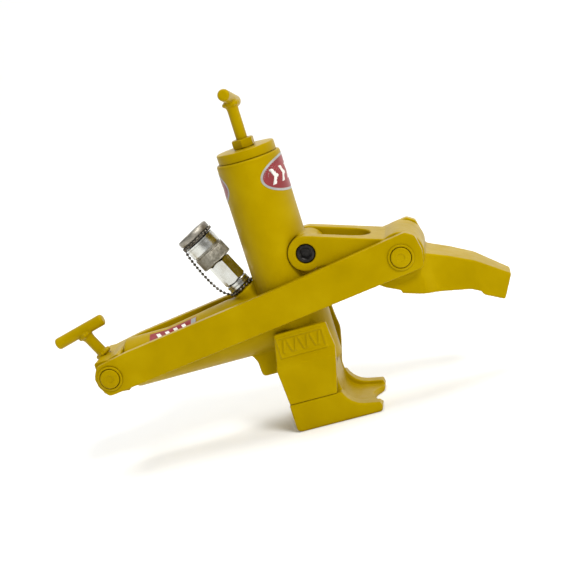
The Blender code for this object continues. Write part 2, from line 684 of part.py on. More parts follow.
cut(foot_block, turned("toe_notch", solid_of(notch_radius, -0.01, 0.02), None,
                       at=(foot_toe + notch_radius - toe_notch_depth, 0, 0), sides=44, parent=foot_axis))
cut(foot_block, turned("ram_socket", solid_of(foot_ram_radius + fit_gap, foot_ram_bottom - fit_gap, 0.06),
                       None, sides=24, parent=foot_axis))
cut(foot_block, turned("foot_pin_bore", solid_of(foot_pin_radius + fit_gap, -0.06, 0.06), None,
                       at=(0, 0, foot_pin_height), along=across, sides=16, parent=foot_axis))

cheek_outline = rounded([
    (foot_heel + 0.0011, foot_block_height + fit_gap), (foot_heel - 0.0006, 0.0581, 0.010),
    (foot_heel - 0.0013, 0.0673, 0.006), (foot_heel + 0.0059, cheek_top, 0.002),
    (0.0313, cheek_top, 0.002), (0.0321, 0.0909), (0.0336, 0.0769, 0.006), (0.0304, 0.0620, 0.010),
    (0.0219, foot_block_height + fit_gap)], 4)
for side, sign in (("near", -1), ("far", 1)):
    low, high = sorted((sign * cheek_inner, sign * foot_half_width))
    cheek = extruded(f"foot_cheek_{side}", cheek_outline, low, high, enamel, parent=foot_axis)
    step_face = foot_half_width - cheek_step_depth
    step = [(step_face, cheek_step_height + cheek_ledge_rise),
            (foot_half_width + 0.001, cheek_step_height - 0.001),
            (foot_half_width + 0.01, cheek_step_height),
            (foot_half_width + 0.01, cheek_top + 0.01),
            (step_face, cheek_top + 0.01)]
    cut(cheek, extruded(f"cheek_step_{side}", [(sign * a, b) for a, b in step], -0.06, 0.06, None,
                        parent=foot_axis, way="X"))

foot_ram = turned("foot_ram", solid_of(foot_ram_radius, foot_ram_bottom, foot_ram_top, 0.001), ground_steel,
                  sides=24, parent=foot_axis)
cut(foot_ram, turned("ram_pin_bore", solid_of(foot_pin_radius + fit_gap, -0.06, 0.06), None,
                     at=(0, 0, foot_pin_height), along=across, sides=16, parent=foot_axis))
turned("foot_pin", solid_of(foot_pin_radius, -barrel_radius + 0.0005, barrel_radius - 0.0005, 0.0006),
       ground_steel, at=(0, 0, foot_pin_height), along=across, sides=16, parent=foot_axis)

gland_low = barrel_bottom + fit_gap
turned("ram_gland", ring_of(foot_ram_radius + fit_gap, ram_gland_radius, gland_low,
       barrel_bottom + ram_gland_height, 0.0006), ground_steel, sides=24)
turned("ram_seal", ring_of(foot_ram_radius + fit_gap, ram_bore_radius - fit_gap, gland_seat + fit_gap,
       gland_seat + fit_gap + ram_seal_height), seal_rubber, sides=24)

nut_top = cap_seat - 0.002
nut_low = nut_top - pull_nut_height
plate_low = nut_low - fit_gap - spring_plate_height
turned("pull_rod", solid_of(pull_rod_radius, foot_ram_top + fit_gap, nut_top, 0.0006), ground_steel,
       sides=16, parent=foot_axis)
pull_nut = extruded("pull_rod_nut", hex_points(pull_nut_flats), nut_low, nut_top - 0.001, zinc,
                    parent=foot_axis, way="Z")
cut(pull_nut, turned("pull_nut_bore", solid_of(pull_rod_radius + fit_gap, nut_low - 0.01, nut_top + 0.01),
                     None, sides=16, parent=foot_axis))
turned("spring_plate", ring_of(pull_rod_radius + fit_gap, spring_bore_radius - 0.0006, plate_low,
       plate_low + spring_plate_height, 0.0005), ground_steel, sides=20, parent=foot_axis)
coil("foot_spring", spring_steel, foot_spring_radius, foot_spring_wire,
     spring_bore_floor + foot_spring_wire + fit_gap, plate_low - foot_spring_wire - fit_gap,
     foot_spring_turns, (0, 0, 0), None)


# Port adapter, quick coupler, dust cap and its ball chain

turned("port_adapter", [
    (oilway_radius, -adapter_stub_length), (adapter_stub_radius, -adapter_stub_length),
    (adapter_stub_radius, 0), (adapter_radius - 0.0006, 0), (adapter_radius, 0.0006),
    (adapter_radius, adapter_height - 0.0006),
    (adapter_radius - 0.0006, adapter_height), (oilway_radius, adapter_height)], zinc,
    at=port_base, along=port_axis, sides=24)

hex_low = adapter_height + fit_gap
hex_high = hex_low + coupler_hex_length
nose_high = hex_high + collar_length + fit_gap
coupler = extruded("coupler_body", hex_points(coupler_flats, math.pi / 6), hex_low, hex_high, zinc,
                   at=port_base, way="Z", along=port_axis)
join(coupler, turned("coupler_nose_form", solid_of(coupler_nose_radius, hex_high - 0.002, nose_high), None,
                     at=port_base, along=port_axis, sides=24))
cut(coupler, turned("coupler_bore", [
    (0, -0.01), (oilway_radius, -0.01), (oilway_radius, nose_high - coupler_socket_depth),
    (coupler_socket_radius, nose_high - coupler_socket_depth), (coupler_socket_radius, nose_high + 0.01),
    (0, nose_high + 0.01)], None, at=port_base, along=port_axis, sides=16))

collar_low = hex_high + fit_gap
knurl_top = collar_low + collar_length * knurl_share
collar_high = hex_high + collar_length
turned("coupler_collar", [
    (coupler_nose_radius + fit_gap, collar_low), (collar_radius - 0.0012, collar_low),
    (collar_radius, collar_low + 0.0012), (collar_radius, knurl_top),
    (collar_radius - 0.0007, knurl_top + 0.0005), (collar_radius - 0.0007, collar_high - 0.001),
    (collar_radius - 0.0015, collar_high),
    (coupler_nose_radius + fit_gap, collar_high)], zinc, at=port_base, along=port_axis, sides=24,
    parent=collar_axis)

cap_low = nose_high + fit_gap
disc_low = cap_low + cap_neck_height
turned("dust_cap", [
    (0, nose_high - cap_plug_depth), (coupler_socket_radius - fit_gap, nose_high - cap_plug_depth),
    (coupler_socket_radius - fit_gap, cap_low), (cap_neck_radius, cap_low), (cap_neck_radius, disc_low),
    (cap_disc_radius - 0.0008, disc_low), (cap_disc_radius, disc_low + 0.0008),
    (cap_disc_radius, disc_low + cap_disc_height - 0.002),
    (cap_disc_radius - 0.002, disc_low + cap_disc_height), (0, disc_low + cap_disc_height)], zinc,
    at=port_base, along=port_axis, sides=24, parent=dust_cap_axis)


def chain_loop(name, centre_height, neck_radius, parent=None):
    # A closed round of chain on a neck, as a ring of the chain's own thickness.
    middle = neck_radius + fit_gap + chain_radius
    profile = [(middle + chain_radius * math.cos(a), centre_height + chain_radius * math.sin(a))
               for a in [2 * math.pi * step / 8 for step in range(8)]]
    turned(name, profile, zinc, at=port_base, along=port_axis, sides=24, parent=parent)


cap_loop_height = cap_low + cap_neck_height / 2
port_loop_height = -fit_gap - chain_radius - 0.0004
chain_loop("chain_loop_cap", cap_loop_height, cap_neck_radius, dust_cap_axis)
chain_loop("chain_loop_port", port_loop_height, port_neck_radius)

# The chain's route, chosen by hand, from the port loop up to the cap loop.
chain_route = [(-0.0587, 0, 0.1472), (-0.0615, 0, 0.1486), (-0.0678, 0, 0.1534), (-0.0738, 0, 0.1616),
               (-0.0794, 0, 0.1722), (-0.0843, 0, 0.1832), (-0.0879, 0, 0.1925), (-0.0899, 0, 0.1985),
               (-0.0909, 0, 0.2044)]


def smooth_points(route, spacing):
    # Points along a smooth curve through the route, about this far apart.
    places = [Vector(place) for place in route]
    ends = [2 * places[0] - places[1]] + places + [2 * places[-1] - places[-2]]
    fine = []
    for before, start, end, after in zip(ends, ends[1:], ends[2:], ends[3:]):
        for step in range(20):
            t = step / 20
            bend = 2 * before - 5 * start + 4 * end - after
            twist = 3 * start - before - 3 * end + after
            fine.append(0.5 * (2 * start + (end - before) * t + bend * t ** 2 + twist * t ** 3))
    fine.append(places[-1])
    run = [0.0]
    for one, two in zip(fine, fine[1:]):
        run.append(run[-1] + (two - one).length)
    count = round(run[-1] / spacing)
    picked = []
    for step in range(count + 1):
        target = run[-1] * step / count
        picked.append(fine[min(range(len(run)), key=lambda index: abs(run[index] - target))])
    return picked


chain_points = smooth_points(chain_route, 4 * chain_radius)
chain_curve = bpy.data.curves.new("ball_chain", "CURVE")
chain_curve.dimensions = "3D"
chain_curve.bevel_depth = chain_radius
chain_curve.bevel_resolution = 2
chain_curve.use_fill_caps = True
chain_line = chain_curve.splines.new("POLY")
chain_line.points.add(len(chain_points) - 1)
for point, place in zip(chain_line.points, chain_points):
    point.co = (*place, 1)
chain = bpy.data.objects.new("ball_chain", chain_curve)
chain_curve.materials.append(zinc)
bpy.context.scene.collection.objects.link(chain)
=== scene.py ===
import json
import math
import bmesh
import bpy
from mathutils import Matrix, Vector


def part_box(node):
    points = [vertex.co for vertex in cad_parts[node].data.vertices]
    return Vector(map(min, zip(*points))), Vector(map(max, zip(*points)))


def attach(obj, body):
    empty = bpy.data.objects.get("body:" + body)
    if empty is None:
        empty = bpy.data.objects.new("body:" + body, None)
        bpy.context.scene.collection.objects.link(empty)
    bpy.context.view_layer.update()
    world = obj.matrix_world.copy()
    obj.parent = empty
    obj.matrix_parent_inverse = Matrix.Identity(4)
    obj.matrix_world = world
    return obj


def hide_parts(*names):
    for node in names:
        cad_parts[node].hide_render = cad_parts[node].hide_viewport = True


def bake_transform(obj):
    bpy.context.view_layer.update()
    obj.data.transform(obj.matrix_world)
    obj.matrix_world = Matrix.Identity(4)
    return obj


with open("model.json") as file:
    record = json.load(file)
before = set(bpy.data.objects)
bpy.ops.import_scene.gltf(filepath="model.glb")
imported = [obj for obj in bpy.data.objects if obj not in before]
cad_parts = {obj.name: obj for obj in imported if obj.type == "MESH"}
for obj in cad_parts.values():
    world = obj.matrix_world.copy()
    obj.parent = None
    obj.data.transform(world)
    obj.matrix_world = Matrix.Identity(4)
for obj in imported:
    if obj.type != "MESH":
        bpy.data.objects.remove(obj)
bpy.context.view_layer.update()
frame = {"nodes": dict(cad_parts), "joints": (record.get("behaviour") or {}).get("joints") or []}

nodes = frame["nodes"]
joints = {joint["name"]: joint for joint in frame["joints"]}
scene = bpy.context.scene


# Where things are, read off the frame

def middleOf(node):
    low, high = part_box(node)
    return (low + high) / 2


pivot = Vector(joints["claw_swing"]["pos_m"])
clawPin = Vector(joints["link_swing"]["pos_m"])
rearPin = middleOf("crosshead_pin_near")
rearPin.y = 0
portFoot = Vector(joints["collar_turn"]["pos_m"])
portWay = Vector(joints["collar_turn"]["axis"]).normalized()
castingLow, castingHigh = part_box("body_casting")
barrelRadius = (castingHigh.y - castingLow.y) / 2
print("frame loaded, barrel radius", round(barrelRadius, 4))


# Camera: a little right of square on, a little above, and tipped so that the tool leans left

cameraSetup = {
    "place": (0.2328, -1.3340, 0.4168),
    "yaw": 10.0,        # degrees to the left
    "pitch": 11.5,      # degrees down
    "roll": 17.53,      # degrees
    "lens": 85.22,      # mm
    "sensor": 36,       # mm
    "near": 0.05,
    "far": 60,
}


def makeCamera(setup):
    data = bpy.data.cameras.new("studioCamera")
    data.lens = setup["lens"]
    data.sensor_width = setup["sensor"]
    data.clip_start = setup["near"]
    data.clip_end = setup["far"]
    camera = bpy.data.objects.new("studioCamera", data)
    scene.collection.objects.link(camera)
    yaw, pitch, roll = (math.radians(setup[key]) for key in ("yaw", "pitch", "roll"))
    forward = Vector((-math.sin(yaw) * math.cos(pitch), math.cos(yaw) * math.cos(pitch), -math.sin(pitch)))
    right = Vector((math.cos(yaw), math.sin(yaw), 0))
    up = right.cross(forward)
    tiltedRight = right * math.cos(roll) - up * math.sin(roll)
    tiltedUp = right * math.sin(roll) + up * math.cos(roll)
    turn = Matrix((tiltedRight, tiltedUp, -forward)).transposed().to_4x4()
    camera.matrix_world = Matrix.Translation(setup["place"]) @ turn
    scene.camera = camera


makeCamera(cameraSetup)


# Materials

def linear(hexColour):
    # sRGB hex to linear RGBA
    parts = [int(hexColour[i:i + 2], 16) / 255 for i in (1, 3, 5)]
    return (*[p / 12.92 if p <= 0.04045 else ((p + 0.055) / 1.055) ** 2.4 for p in parts], 1.0)


def startMaterial(name):
    made = bpy.data.materials.new(name)
    made.use_nodes = True
    made.node_tree.nodes.clear()
    return made, made.node_tree


def add(tree, kind, settings=None, links=None, label=None, stops=()):
    # One node: settings are its own properties and its sockets, links are socket: (node, output), and
    # stops are a colour ramp's places and colours.
    node = tree.nodes.new(kind)
    if label:
        node.label = label
    for key, value in (settings or {}).items():
        if isinstance(key, str) and hasattr(node, key) and key not in node.inputs:
            setattr(node, key, value)
        else:
            node.inputs[key].default_value = value
    for key, (source, output) in (links or {}).items():
        tree.links.new(source.outputs[output], node.inputs[key])
    for index, (position, colour) in enumerate(stops):
        elements = node.color_ramp.elements
        element = elements[index] if index < len(elements) else elements.new(position)
        element.position = position
        element.color = colour
    return node


def perMm(size):
    # Noise scale for features about this many millimetres across, in object space in metres.
    return 1000.0 / size


enamelLook = {
    "base": "#A08500",
    "deep": "#977D00",      # where the coat is thin or runs into a corner
    "pale": "#A88E04",      # where it lies thick
    "paintedShade": "#6A4E00",      # painted shade in the corners, a darker brownish yellow
    "peel": 1.4,            # mm, orange peel of a sprayed coat
    "cloud": 38.0,          # mm, slow change of coat thickness
    "chip": 2.6,            # mm, chips and rubs
    "patch": 11.0,          # mm, patches of painted corner shade and of gloss
    "cornerReach": 0.007,   # how far from a corner the painted shade reaches
    "paintedShadeMost": 0.75,
    "rubMost": 0.35,
    "peelDepth": 0.00006,
    "sheen": 0.22,          # specular level of a coat that has gone a little dull
    "sheenTint": "#FFDD00",  # the sheen keeps the coat's own yellow
}


def enamel(name, castGrain, grainDepth, roughness, look=enamelLook):
    # Two-pack enamel sprayed over steel: an even clean yellow with a soft gloss, orange peel close up,
    # painted shade that darkens the corners in patches, and, on castings, the sand grain showing through.
    made, tree = startMaterial(name)
    where = add(tree, "ShaderNodeTexCoord")
    # The second noise gives the patches that hold the painted corner shade and change the gloss.
    cloud, patch, chips, peel, grain = (
        add(tree, "ShaderNodeTexNoise", {"Scale": perMm(size), "Detail": detail, "Roughness": rough},
            {"Vector": (where, "Object")}, label)
        for label, size, detail, rough in (
            ("coat thickness", look["cloud"], 3.0, 0.55), ("soil patches", look["patch"], 5.0, 0.65),
            ("rubbed edges", look["chip"], 4.0, 0.70), ("orange peel", look["peel"], 2.0, 0.50),
            ("grain under the coat", castGrain, 4.0, 0.60)))
    tone = add(tree, "ShaderNodeValToRGB", None, {"Fac": (cloud, "Fac")}, "coat colour",
               [(0.25, linear(look["deep"])), (0.52, linear(look["base"])), (0.80, linear(look["pale"]))])
    # Painted shade: the coat darkens where corners and gaps keep light out, in patches.
    corner = add(tree, "ShaderNodeAmbientOcclusion", {"Distance": look["cornerReach"], "samples": 4},
                 None, "corners")
    cornerAmount = add(tree, "ShaderNodeMapRange", {"From Min": 0.25, "From Max": 0.85,
                       "To Min": look["paintedShadeMost"], "To Max": 0.0}, {"Value": (corner, "AO")})
    paintedShadeAmount = add(tree, "ShaderNodeMath", {"operation": "MULTIPLY", "use_clamp": True},
                     {0: (cornerAmount, "Result"), 1: (patch, "Fac")})
    withPaintedShade = add(tree, "ShaderNodeMix", {"data_type": "RGBA", 7: linear(look["paintedShade"])},
                 {0: (paintedShadeAmount, 0), 6: (tone, "Color")})
    edge = add(tree, "ShaderNodeNewGeometry")
    rubbed = add(tree, "ShaderNodeMapRange", {"From Min": 0.535, "From Max": 0.60, "To Min": 0.0,
                 "To Max": look["rubMost"]}, {"Value": (edge, "Pointiness")})
    rubAmount = add(tree, "ShaderNodeMath", {"operation": "MULTIPLY", "use_clamp": True},
                    {0: (rubbed, "Result"), 1: (chips, "Fac")})
    coloured = add(tree, "ShaderNodeMix", {"data_type": "RGBA", 7: linear(look["pale"])},
                   {0: (rubAmount, 0), 6: (withPaintedShade, 2)})
    gloss = add(tree, "ShaderNodeMapRange", {"From Min": 0.3, "From Max": 0.7, "To Min": roughness - 0.06,
                "To Max": roughness + 0.08}, {"Value": (patch, "Fac")})
    peelBump = add(tree, "ShaderNodeBump", {"Strength": 0.35, "Distance": look["peelDepth"]},
                   {"Height": (peel, "Fac")})
    grainBump = add(tree, "ShaderNodeBump", {"Strength": 0.6, "Distance": grainDepth},
                    {"Height": (grain, "Fac"), "Normal": (peelBump, "Normal")})
    shader = add(tree, "ShaderNodeBsdfPrincipled",
                 {"Metallic": 0.0, "IOR": 1.5, "Specular IOR Level": look["sheen"],
                  "Specular Tint": linear(look["sheenTint"])},
                 {"Base Color": (coloured, 2), "Roughness": (gloss, "Result"),
                  "Normal": (grainBump, "Normal")})
    add(tree, "ShaderNodeOutputMaterial", None, {"Surface": (shader, "BSDF")})
    return made


steelLook = {
    "paintedShade": "#2A2620",      # painted shade in the corners, a dark brown grey
    "cornerReach": 0.003,
    "paintedShadeMost": 0.65,
    "marks": 0.9,           # mm, tool marks
    "markDepth": 0.00004,
}


def steel(name, light, dark, roughness, mottle, streaks=(1.0, 1.0, 1.0), metallic=1.0, look=steelLook):
    # Bare or plated metal. mottle is the size in mm of its cloudiness, and streaks is how far turning or
    # drawing marks are squeezed along each axis.
    made, tree = startMaterial(name)
    where = add(tree, "ShaderNodeTexCoord")
    cloud = add(tree, "ShaderNodeTexNoise", {"Scale": perMm(mottle), "Detail": 6.0, "Roughness": 0.62},
                {"Vector": (where, "Object")}, "plating cloud")
    tone = add(tree, "ShaderNodeValToRGB", None, {"Fac": (cloud, "Fac")}, "plating colour",
               [(0.32, linear(dark)), (0.66, linear(light))])
    # Painted shade: the metal darkens where corners and gaps keep light out.
    corner = add(tree, "ShaderNodeAmbientOcclusion", {"Distance": look["cornerReach"], "samples": 4},
                 None, "corners")
    steelPaintedShade = add(tree, "ShaderNodeMapRange", {"From Min": 0.2, "From Max": 0.8, "To Min": look["paintedShadeMost"],
                "To Max": 0.0}, {"Value": (corner, "AO")})
    coloured = add(tree, "ShaderNodeMix", {"data_type": "RGBA", 7: linear(look["paintedShade"])},
                   {0: (steelPaintedShade, "Result"), 6: (tone, "Color")})
    stretch = add(tree, "ShaderNodeMapping", {"Scale": streaks}, {"Vector": (where, "Object")})
    marks = add(tree, "ShaderNodeTexNoise", {"Scale": perMm(look["marks"]), "Detail": 3.0},
                {"Vector": (stretch, "Vector")}, "tool marks")
    gloss = add(tree, "ShaderNodeMapRange", {"From Min": 0.3, "From Max": 0.7, "To Min": roughness - 0.07,
                "To Max": roughness + 0.1}, {"Value": (cloud, "Fac")})
    bump = add(tree, "ShaderNodeBump", {"Strength": 0.25, "Distance": look["markDepth"]},
               {"Height": (marks, "Fac")})
    shader = add(tree, "ShaderNodeBsdfPrincipled", {"Metallic": metallic}, {"Base Color": (coloured, 2),
                 "Roughness": (gloss, "Result"), "Normal": (bump, "Normal")})
    add(tree, "ShaderNodeOutputMaterial", None, {"Surface": (shader, "BSDF")})
    return made


def plain(name, colour, second, roughness, size, depth, coat=0.0):
    # A coat, film or rubber: two close tones in patches of the size given in mm, and a fine bump.
    made, tree = startMaterial(name)
    where = add(tree, "ShaderNodeTexCoord")
    patch = add(tree, "ShaderNodeTexNoise", {"Scale": perMm(size), "Detail": 5.0},
                {"Vector": (where, "Object")})
    tone = add(tree, "ShaderNodeValToRGB", None, {"Fac": (patch, "Fac")}, "two close tones",
               [(0.35, linear(second)), (0.65, linear(colour))])
    gloss = add(tree, "ShaderNodeMapRange", {"From Min": 0.3, "From Max": 0.7, "To Min": roughness - 0.05,
                "To Max": roughness + 0.07}, {"Value": (patch, "Fac")})
    bump = add(tree, "ShaderNodeBump", {"Strength": 0.4, "Distance": depth}, {"Height": (patch, "Fac")})
    shader = add(tree, "ShaderNodeBsdfPrincipled", {"Metallic": 0.0, "IOR": 1.5, "Coat Weight": coat,
                 "Coat Roughness": 0.12}, {"Base Color": (tone, "Color"), "Roughness": (gloss, "Result"),
                 "Normal": (bump, "Normal")})
    add(tree, "ShaderNodeOutputMaterial", None, {"Surface": (shader, "BSDF")})
    return made


# Enamel on a sand casting: even yellow with a soft gloss, and the sand's grain just showing.
castEnamel = enamel("enamelOnSandCastSteel", 3.2, 0.00016, 0.40)
# Enamel on rolled plate: the same yellow, flatter and a little glossier.
plateEnamel = enamel("enamelOnRolledPlate", 9.0, 0.00005, 0.36)
# Enamel on turned bar: as smooth as the plate, for caps, pins and handles.
barEnamel = enamel("enamelOnTurnedBar", 5.0, 0.00005, 0.36)
# Bright zinc on turned steel: pale silver with sharp reflections and fine rings round the part.
zincPlate = steel("zincPlatedTurnedSteel", "#D2D3CE", "#B4B2A8", 0.20, 7.0, (1.0, 1.0, 14.0))
# Handled zinc on a knurl: greyer and duller, with painted shade between the diamonds.
knurledZinc = steel("zincPlatedKnurledSteel", "#A39F92", "#7C776A", 0.36, 3.0)
# Cast light alloy: warm grey and matt, with no plating over it.
alloyCap = steel("castAlloyCap", "#A5A096", "#7F796C", 0.42, 4.0)
# Nickel chain gone dull: brown grey balls with a small bright spot on each.
chainNickel = steel("tarnishedNickelBallChain", "#7E776B", "#3F3A33", 0.28, 2.0)
# Ground rod: clean cool grey with fine marks round it.
groundSteel = steel("groundSteel", "#BFC0C2", "#A4A6A8", 0.25, 12.0, (1.0, 1.0, 10.0))
# Oil-tempered wire: dark grey with a dull shine.
springWire = steel("oilTemperedSpringWire", "#5A5856", "#3B3A3A", 0.38, 5.0)
# Black oxide on a screw: nearly black, with a satin highlight on the ridges.
blackOxide = steel("blackOxideScrewSteel", "#35322F", "#1B1A1A", 0.42, 4.0, metallic=0.85)
# Sintered bronze: matt brown, mottled by its pores.
sinteredBronze = steel("sinteredBronze", "#B58A55", "#8E683C", 0.46, 2.0)
# Moulded nitrile rubber: black and matt.
nitrile = plain("mouldedNitrileRubber", "#1D1D1E", "#141415", 0.58, 3.0, 0.00003)
# Printed vinyl film: flat clear colour with a thin even shine, in red, silver and white.
redFilm = plain("redPrintedVinyl", "#8C1219", "#780D14", 0.36, 14.0, 0.00001, 0.1)
silverFilm = plain("silverPrintedVinyl", "#A6A6A2", "#8F8F8B", 0.36, 9.0, 0.00001, 0.1)
whiteFilm = plain("whitePrintedVinyl", "#E6E4DC", "#D6D3CA", 0.36, 12.0, 0.00001, 0.1)
print("materials made")


# Shape helpers: each returns a bmesh in metres, in its own frame

def ringOf(shape, sides, height, radius):
    # A ring of points about Z. radius is a number, or a function of the step round the ring.
    made = []
    for step in range(sides):
        a = 2 * math.pi * step / sides
        r = radius(step) if callable(radius) else radius
        made.append(shape.verts.new((r * math.cos(a), r * math.sin(a), height)))
    return made


def plainRings(shape, sides, profile):
    return [ringOf(shape, sides, height, radius) for radius, height in profile]


def stitch(shape, rings, closed):
    # Faces between rings, and flat ends where they aren't closed.
    sides = len(rings[0])
    for one, two in zip(rings, rings[1:] + (rings[:1] if closed else [])):
        for step in range(sides):
            after = (step + 1) % sides
            shape.faces.new((one[step], one[after], two[after], two[step]))
    if not closed:
        shape.faces.new(rings[0][::-1])
        shape.faces.new(rings[-1])


def hexReach(flats, step, sides):
    # Distance from the middle of a hexagon to its edge, at a step round it.
    near = (2 * math.pi * step / sides + math.pi / 6) % (math.pi / 3) - math.pi / 6
    return flats / 2 / math.cos(near)


def spun(profile, sides):
    # (radius, height) points turned about Z, closed by flat ends where the first radius is 0.
    capped = profile[0][0] == 0
    shape = bmesh.new()
    stitch(shape, plainRings(shape, sides, profile[1:-1] if capped else profile), not capped)
    return shape


def rolled(radius, low, high, edge, steps=4):
    # Profile of a round bar whose two ends are rounded over by edge.
    points = [(0, low), (radius - edge, low)]
    for step in range(1, steps + 1):
        a = math.pi / 2 * step / steps
        points.append((radius - edge + edge * math.sin(a), low + edge - edge * math.cos(a)))
    for step in range(1, steps + 1):
        a = math.pi / 2 * step / steps
        points.append((radius - edge + edge * math.cos(a), high - edge + edge * math.sin(a)))
    return points + [(0, high)]


def pushed(outline, low, high):
    # An outline in X and Z pushed along Y.
    shape = bmesh.new()
    first = [shape.verts.new((a, low, b)) for a, b in outline]
    second = [shape.verts.new((a, high, b)) for a, b in outline]
    shape.faces.new(first)
    shape.faces.new(second[::-1])
    for index, corner in enumerate(first):
        after = (index + 1) % len(first)
        shape.faces.new((corner, second[index], second[after], first[after]))
    return shape


def turned(shape, at, way):
    # The bmesh with its own Z along way, moved to at.
    turn = Vector(way).to_track_quat("Z", "Y").to_matrix().to_4x4()
    bmesh.ops.transform(shape, matrix=Matrix.Translation(at) @ turn, verts=shape.verts)
    return shape


def merged(shapes):
    whole = bmesh.new()
    for shape in shapes:
        part = bpy.data.meshes.new("part")
        shape.to_mesh(part)
        shape.free()
        whole.from_mesh(part)
        bpy.data.meshes.remove(part)
    return whole


def finishPiece(shape, name, finish, body, stands, sharp=35):
    # A bmesh as a named piece in the scene that stands for CAD nodes, and rides on a body if one is given.
    bmesh.ops.recalc_face_normals(shape, faces=shape.faces)
    mesh = bpy.data.meshes.new(name)
    shape.to_mesh(mesh)
    shape.free()
    mesh.shade_smooth()
    if sharp:
        mesh.set_sharp_from_angle(angle=math.radians(sharp))
    for made in finish if isinstance(finish, (list, tuple)) else [finish]:
        mesh.materials.append(made)
    piece = bpy.data.objects.new(name, mesh)
    scene.collection.objects.link(piece)
    if body:
        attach(piece, body)
    if stands:
        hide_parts(*stands)
    return piece


def nodeShape(node):
    # A copy of a CAD node's mesh with its doubled corners joined.
    shape = bmesh.new()
    shape.from_mesh(nodes[node].data)
    bmesh.ops.remove_doubles(shape, verts=shape.verts, dist=0.000002)
    return shape


def softened(shape, grid, passes):
    # The surface as it comes out of a mould and under paint: an even fine skin with rounded edges.
    mesh = bpy.data.meshes.new("rough")
    bmesh.ops.recalc_face_normals(shape, faces=shape.faces)
    shape.to_mesh(mesh)
    shape.free()
    holder = bpy.data.objects.new("rough", mesh)
    scene.collection.objects.link(holder)
    skin = holder.modifiers.new("skin", "REMESH")
    skin.mode = "VOXEL"
    skin.voxel_size = grid
    skin.adaptivity = 0.0
    ease = holder.modifiers.new("ease", "SMOOTH")
    ease.factor = 0.5
    ease.iterations = passes
    view = bpy.context.evaluated_depsgraph_get()
    fine = bpy.data.meshes.new_from_object(holder.evaluated_get(view))
    result = bmesh.new()
    result.from_mesh(fine)
    bpy.data.objects.remove(holder)
    bpy.data.meshes.remove(mesh)
    bpy.data.meshes.remove(fine)
    return result


# Cords first: the ball chain that keeps the dust cap

chainSetup = {
    "route": [(-0.0587, 0, 0.1472), (-0.0615, 0, 0.1486), (-0.0678, 0, 0.1534), (-0.0738, 0, 0.1616),
              (-0.0794, 0, 0.1722), (-0.0843, 0, 0.1832), (-0.0879, 0, 0.1925), (-0.0899, 0, 0.1985),
              (-0.0909, 0, 0.2044)],
    "ball": 0.0016,         # radius
    "pitch": 0.0042,
    "wire": 0.00055,        # radius of the wire between balls
    "capLoopRadius": 0.0174,
    "capLoopHeight": 0.0657,
    "portLoopRadius": 0.0122,
    "portLoopHeight": -0.0022,
    "clasp": 0.0026,        # radius
    "wireEdge": 0.0001,
    "wireSides": 8,
}


def smoothRoute(route, steps=24):
    # Dense points on one smooth curve through the route.
    places = [Vector(place) for place in route]
    ends = [2 * places[0] - places[1]] + places + [2 * places[-1] - places[-2]]
    fine = []
    for before, start, end, after in zip(ends, ends[1:], ends[2:], ends[3:]):
        for step in range(steps):
            t = step / steps
            fine.append(0.5 * (2 * start + (end - before) * t
                               + (2 * before - 5 * start + 4 * end - after) * t ** 2
                               + (3 * start - before - 3 * end + after) * t ** 3))
    return fine + [places[-1]]


def evenPoints(fine, pitch):
    # Points spaced evenly along the curve, at about the pitch, and the curve's length.
    run = [0.0]
    for one, two in zip(fine, fine[1:]):
        run.append(run[-1] + (two - one).length)
    count = max(1, round(run[-1] / pitch))
    picked, index = [], 0
    for step in range(count + 1):
        target = run[-1] * step / count
        while index < len(run) - 2 and run[index + 1] < target:
            index += 1
        share = (target - run[index]) / max(run[index + 1] - run[index], 1e-9)
        picked.append(fine[index].lerp(fine[index + 1], min(1, max(0, share))))
    return picked, run[-1]


def beads(points, closed, setup):
    # Hollow balls with a short wire between each two.
    shapes = []
    for point in points:
        ball = bmesh.new()
        bmesh.ops.create_uvsphere(ball, u_segments=14, v_segments=9, radius=setup["ball"])
        bmesh.ops.transform(ball, matrix=Matrix.Translation(point), verts=ball.verts)
        shapes.append(ball)
    pairs = list(zip(points, points[1:])) + ([(points[-1], points[0])] if closed else [])
    for one, two in pairs:
        run = two - one
        wire = rolled(setup["wire"], 0, run.length, setup["wireEdge"], 1)
        shapes.append(turned(spun(wire, setup["wireSides"]), one, run))
    return merged(shapes)


def loopPoints(radius, height, pitch):
    # Points on a circle round the port.
    count = round(2 * math.pi * radius / pitch)
    turn = portWay.to_track_quat("Z", "Y").to_matrix()
    around = [2 * math.pi * step / count for step in range(count)]
    return [portFoot + turn @ Vector((radius * math.cos(a), radius * math.sin(a), height)) for a in around]


def makeChain(setup):
    points, length = evenPoints(smoothRoute(setup["route"]), setup["pitch"])
    chain = finishPiece(beads(points, False, setup), "ballChain", chainNickel, None,
                        ["ball_chain"], 0)
    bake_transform(chain)
    loop = loopPoints(setup["capLoopRadius"], setup["capLoopHeight"], setup["pitch"])
    finishPiece(beads(loop, True, setup), "capChainLoop", chainNickel, "dust_cap",
                ["chain_loop_cap"], 0)
    loop = loopPoints(setup["portLoopRadius"], setup["portLoopHeight"], setup["pitch"])
    clasp = bmesh.new()
    bmesh.ops.create_uvsphere(clasp, u_segments=18, v_segments=12, radius=setup["clasp"])
    front = min(loop, key=lambda point: point.y)
    bmesh.ops.transform(clasp, matrix=Matrix.Translation(front), verts=clasp.verts)
    finishPiece(merged([beads(loop, True, setup), clasp]), "portChainLoop", chainNickel, "body",
                ["chain_loop_port"], 0)
    print("ball chain made,", round(length * 1000), "mm")


makeChain(chainSetup)


# Castings: the CAD solids under a fine even skin

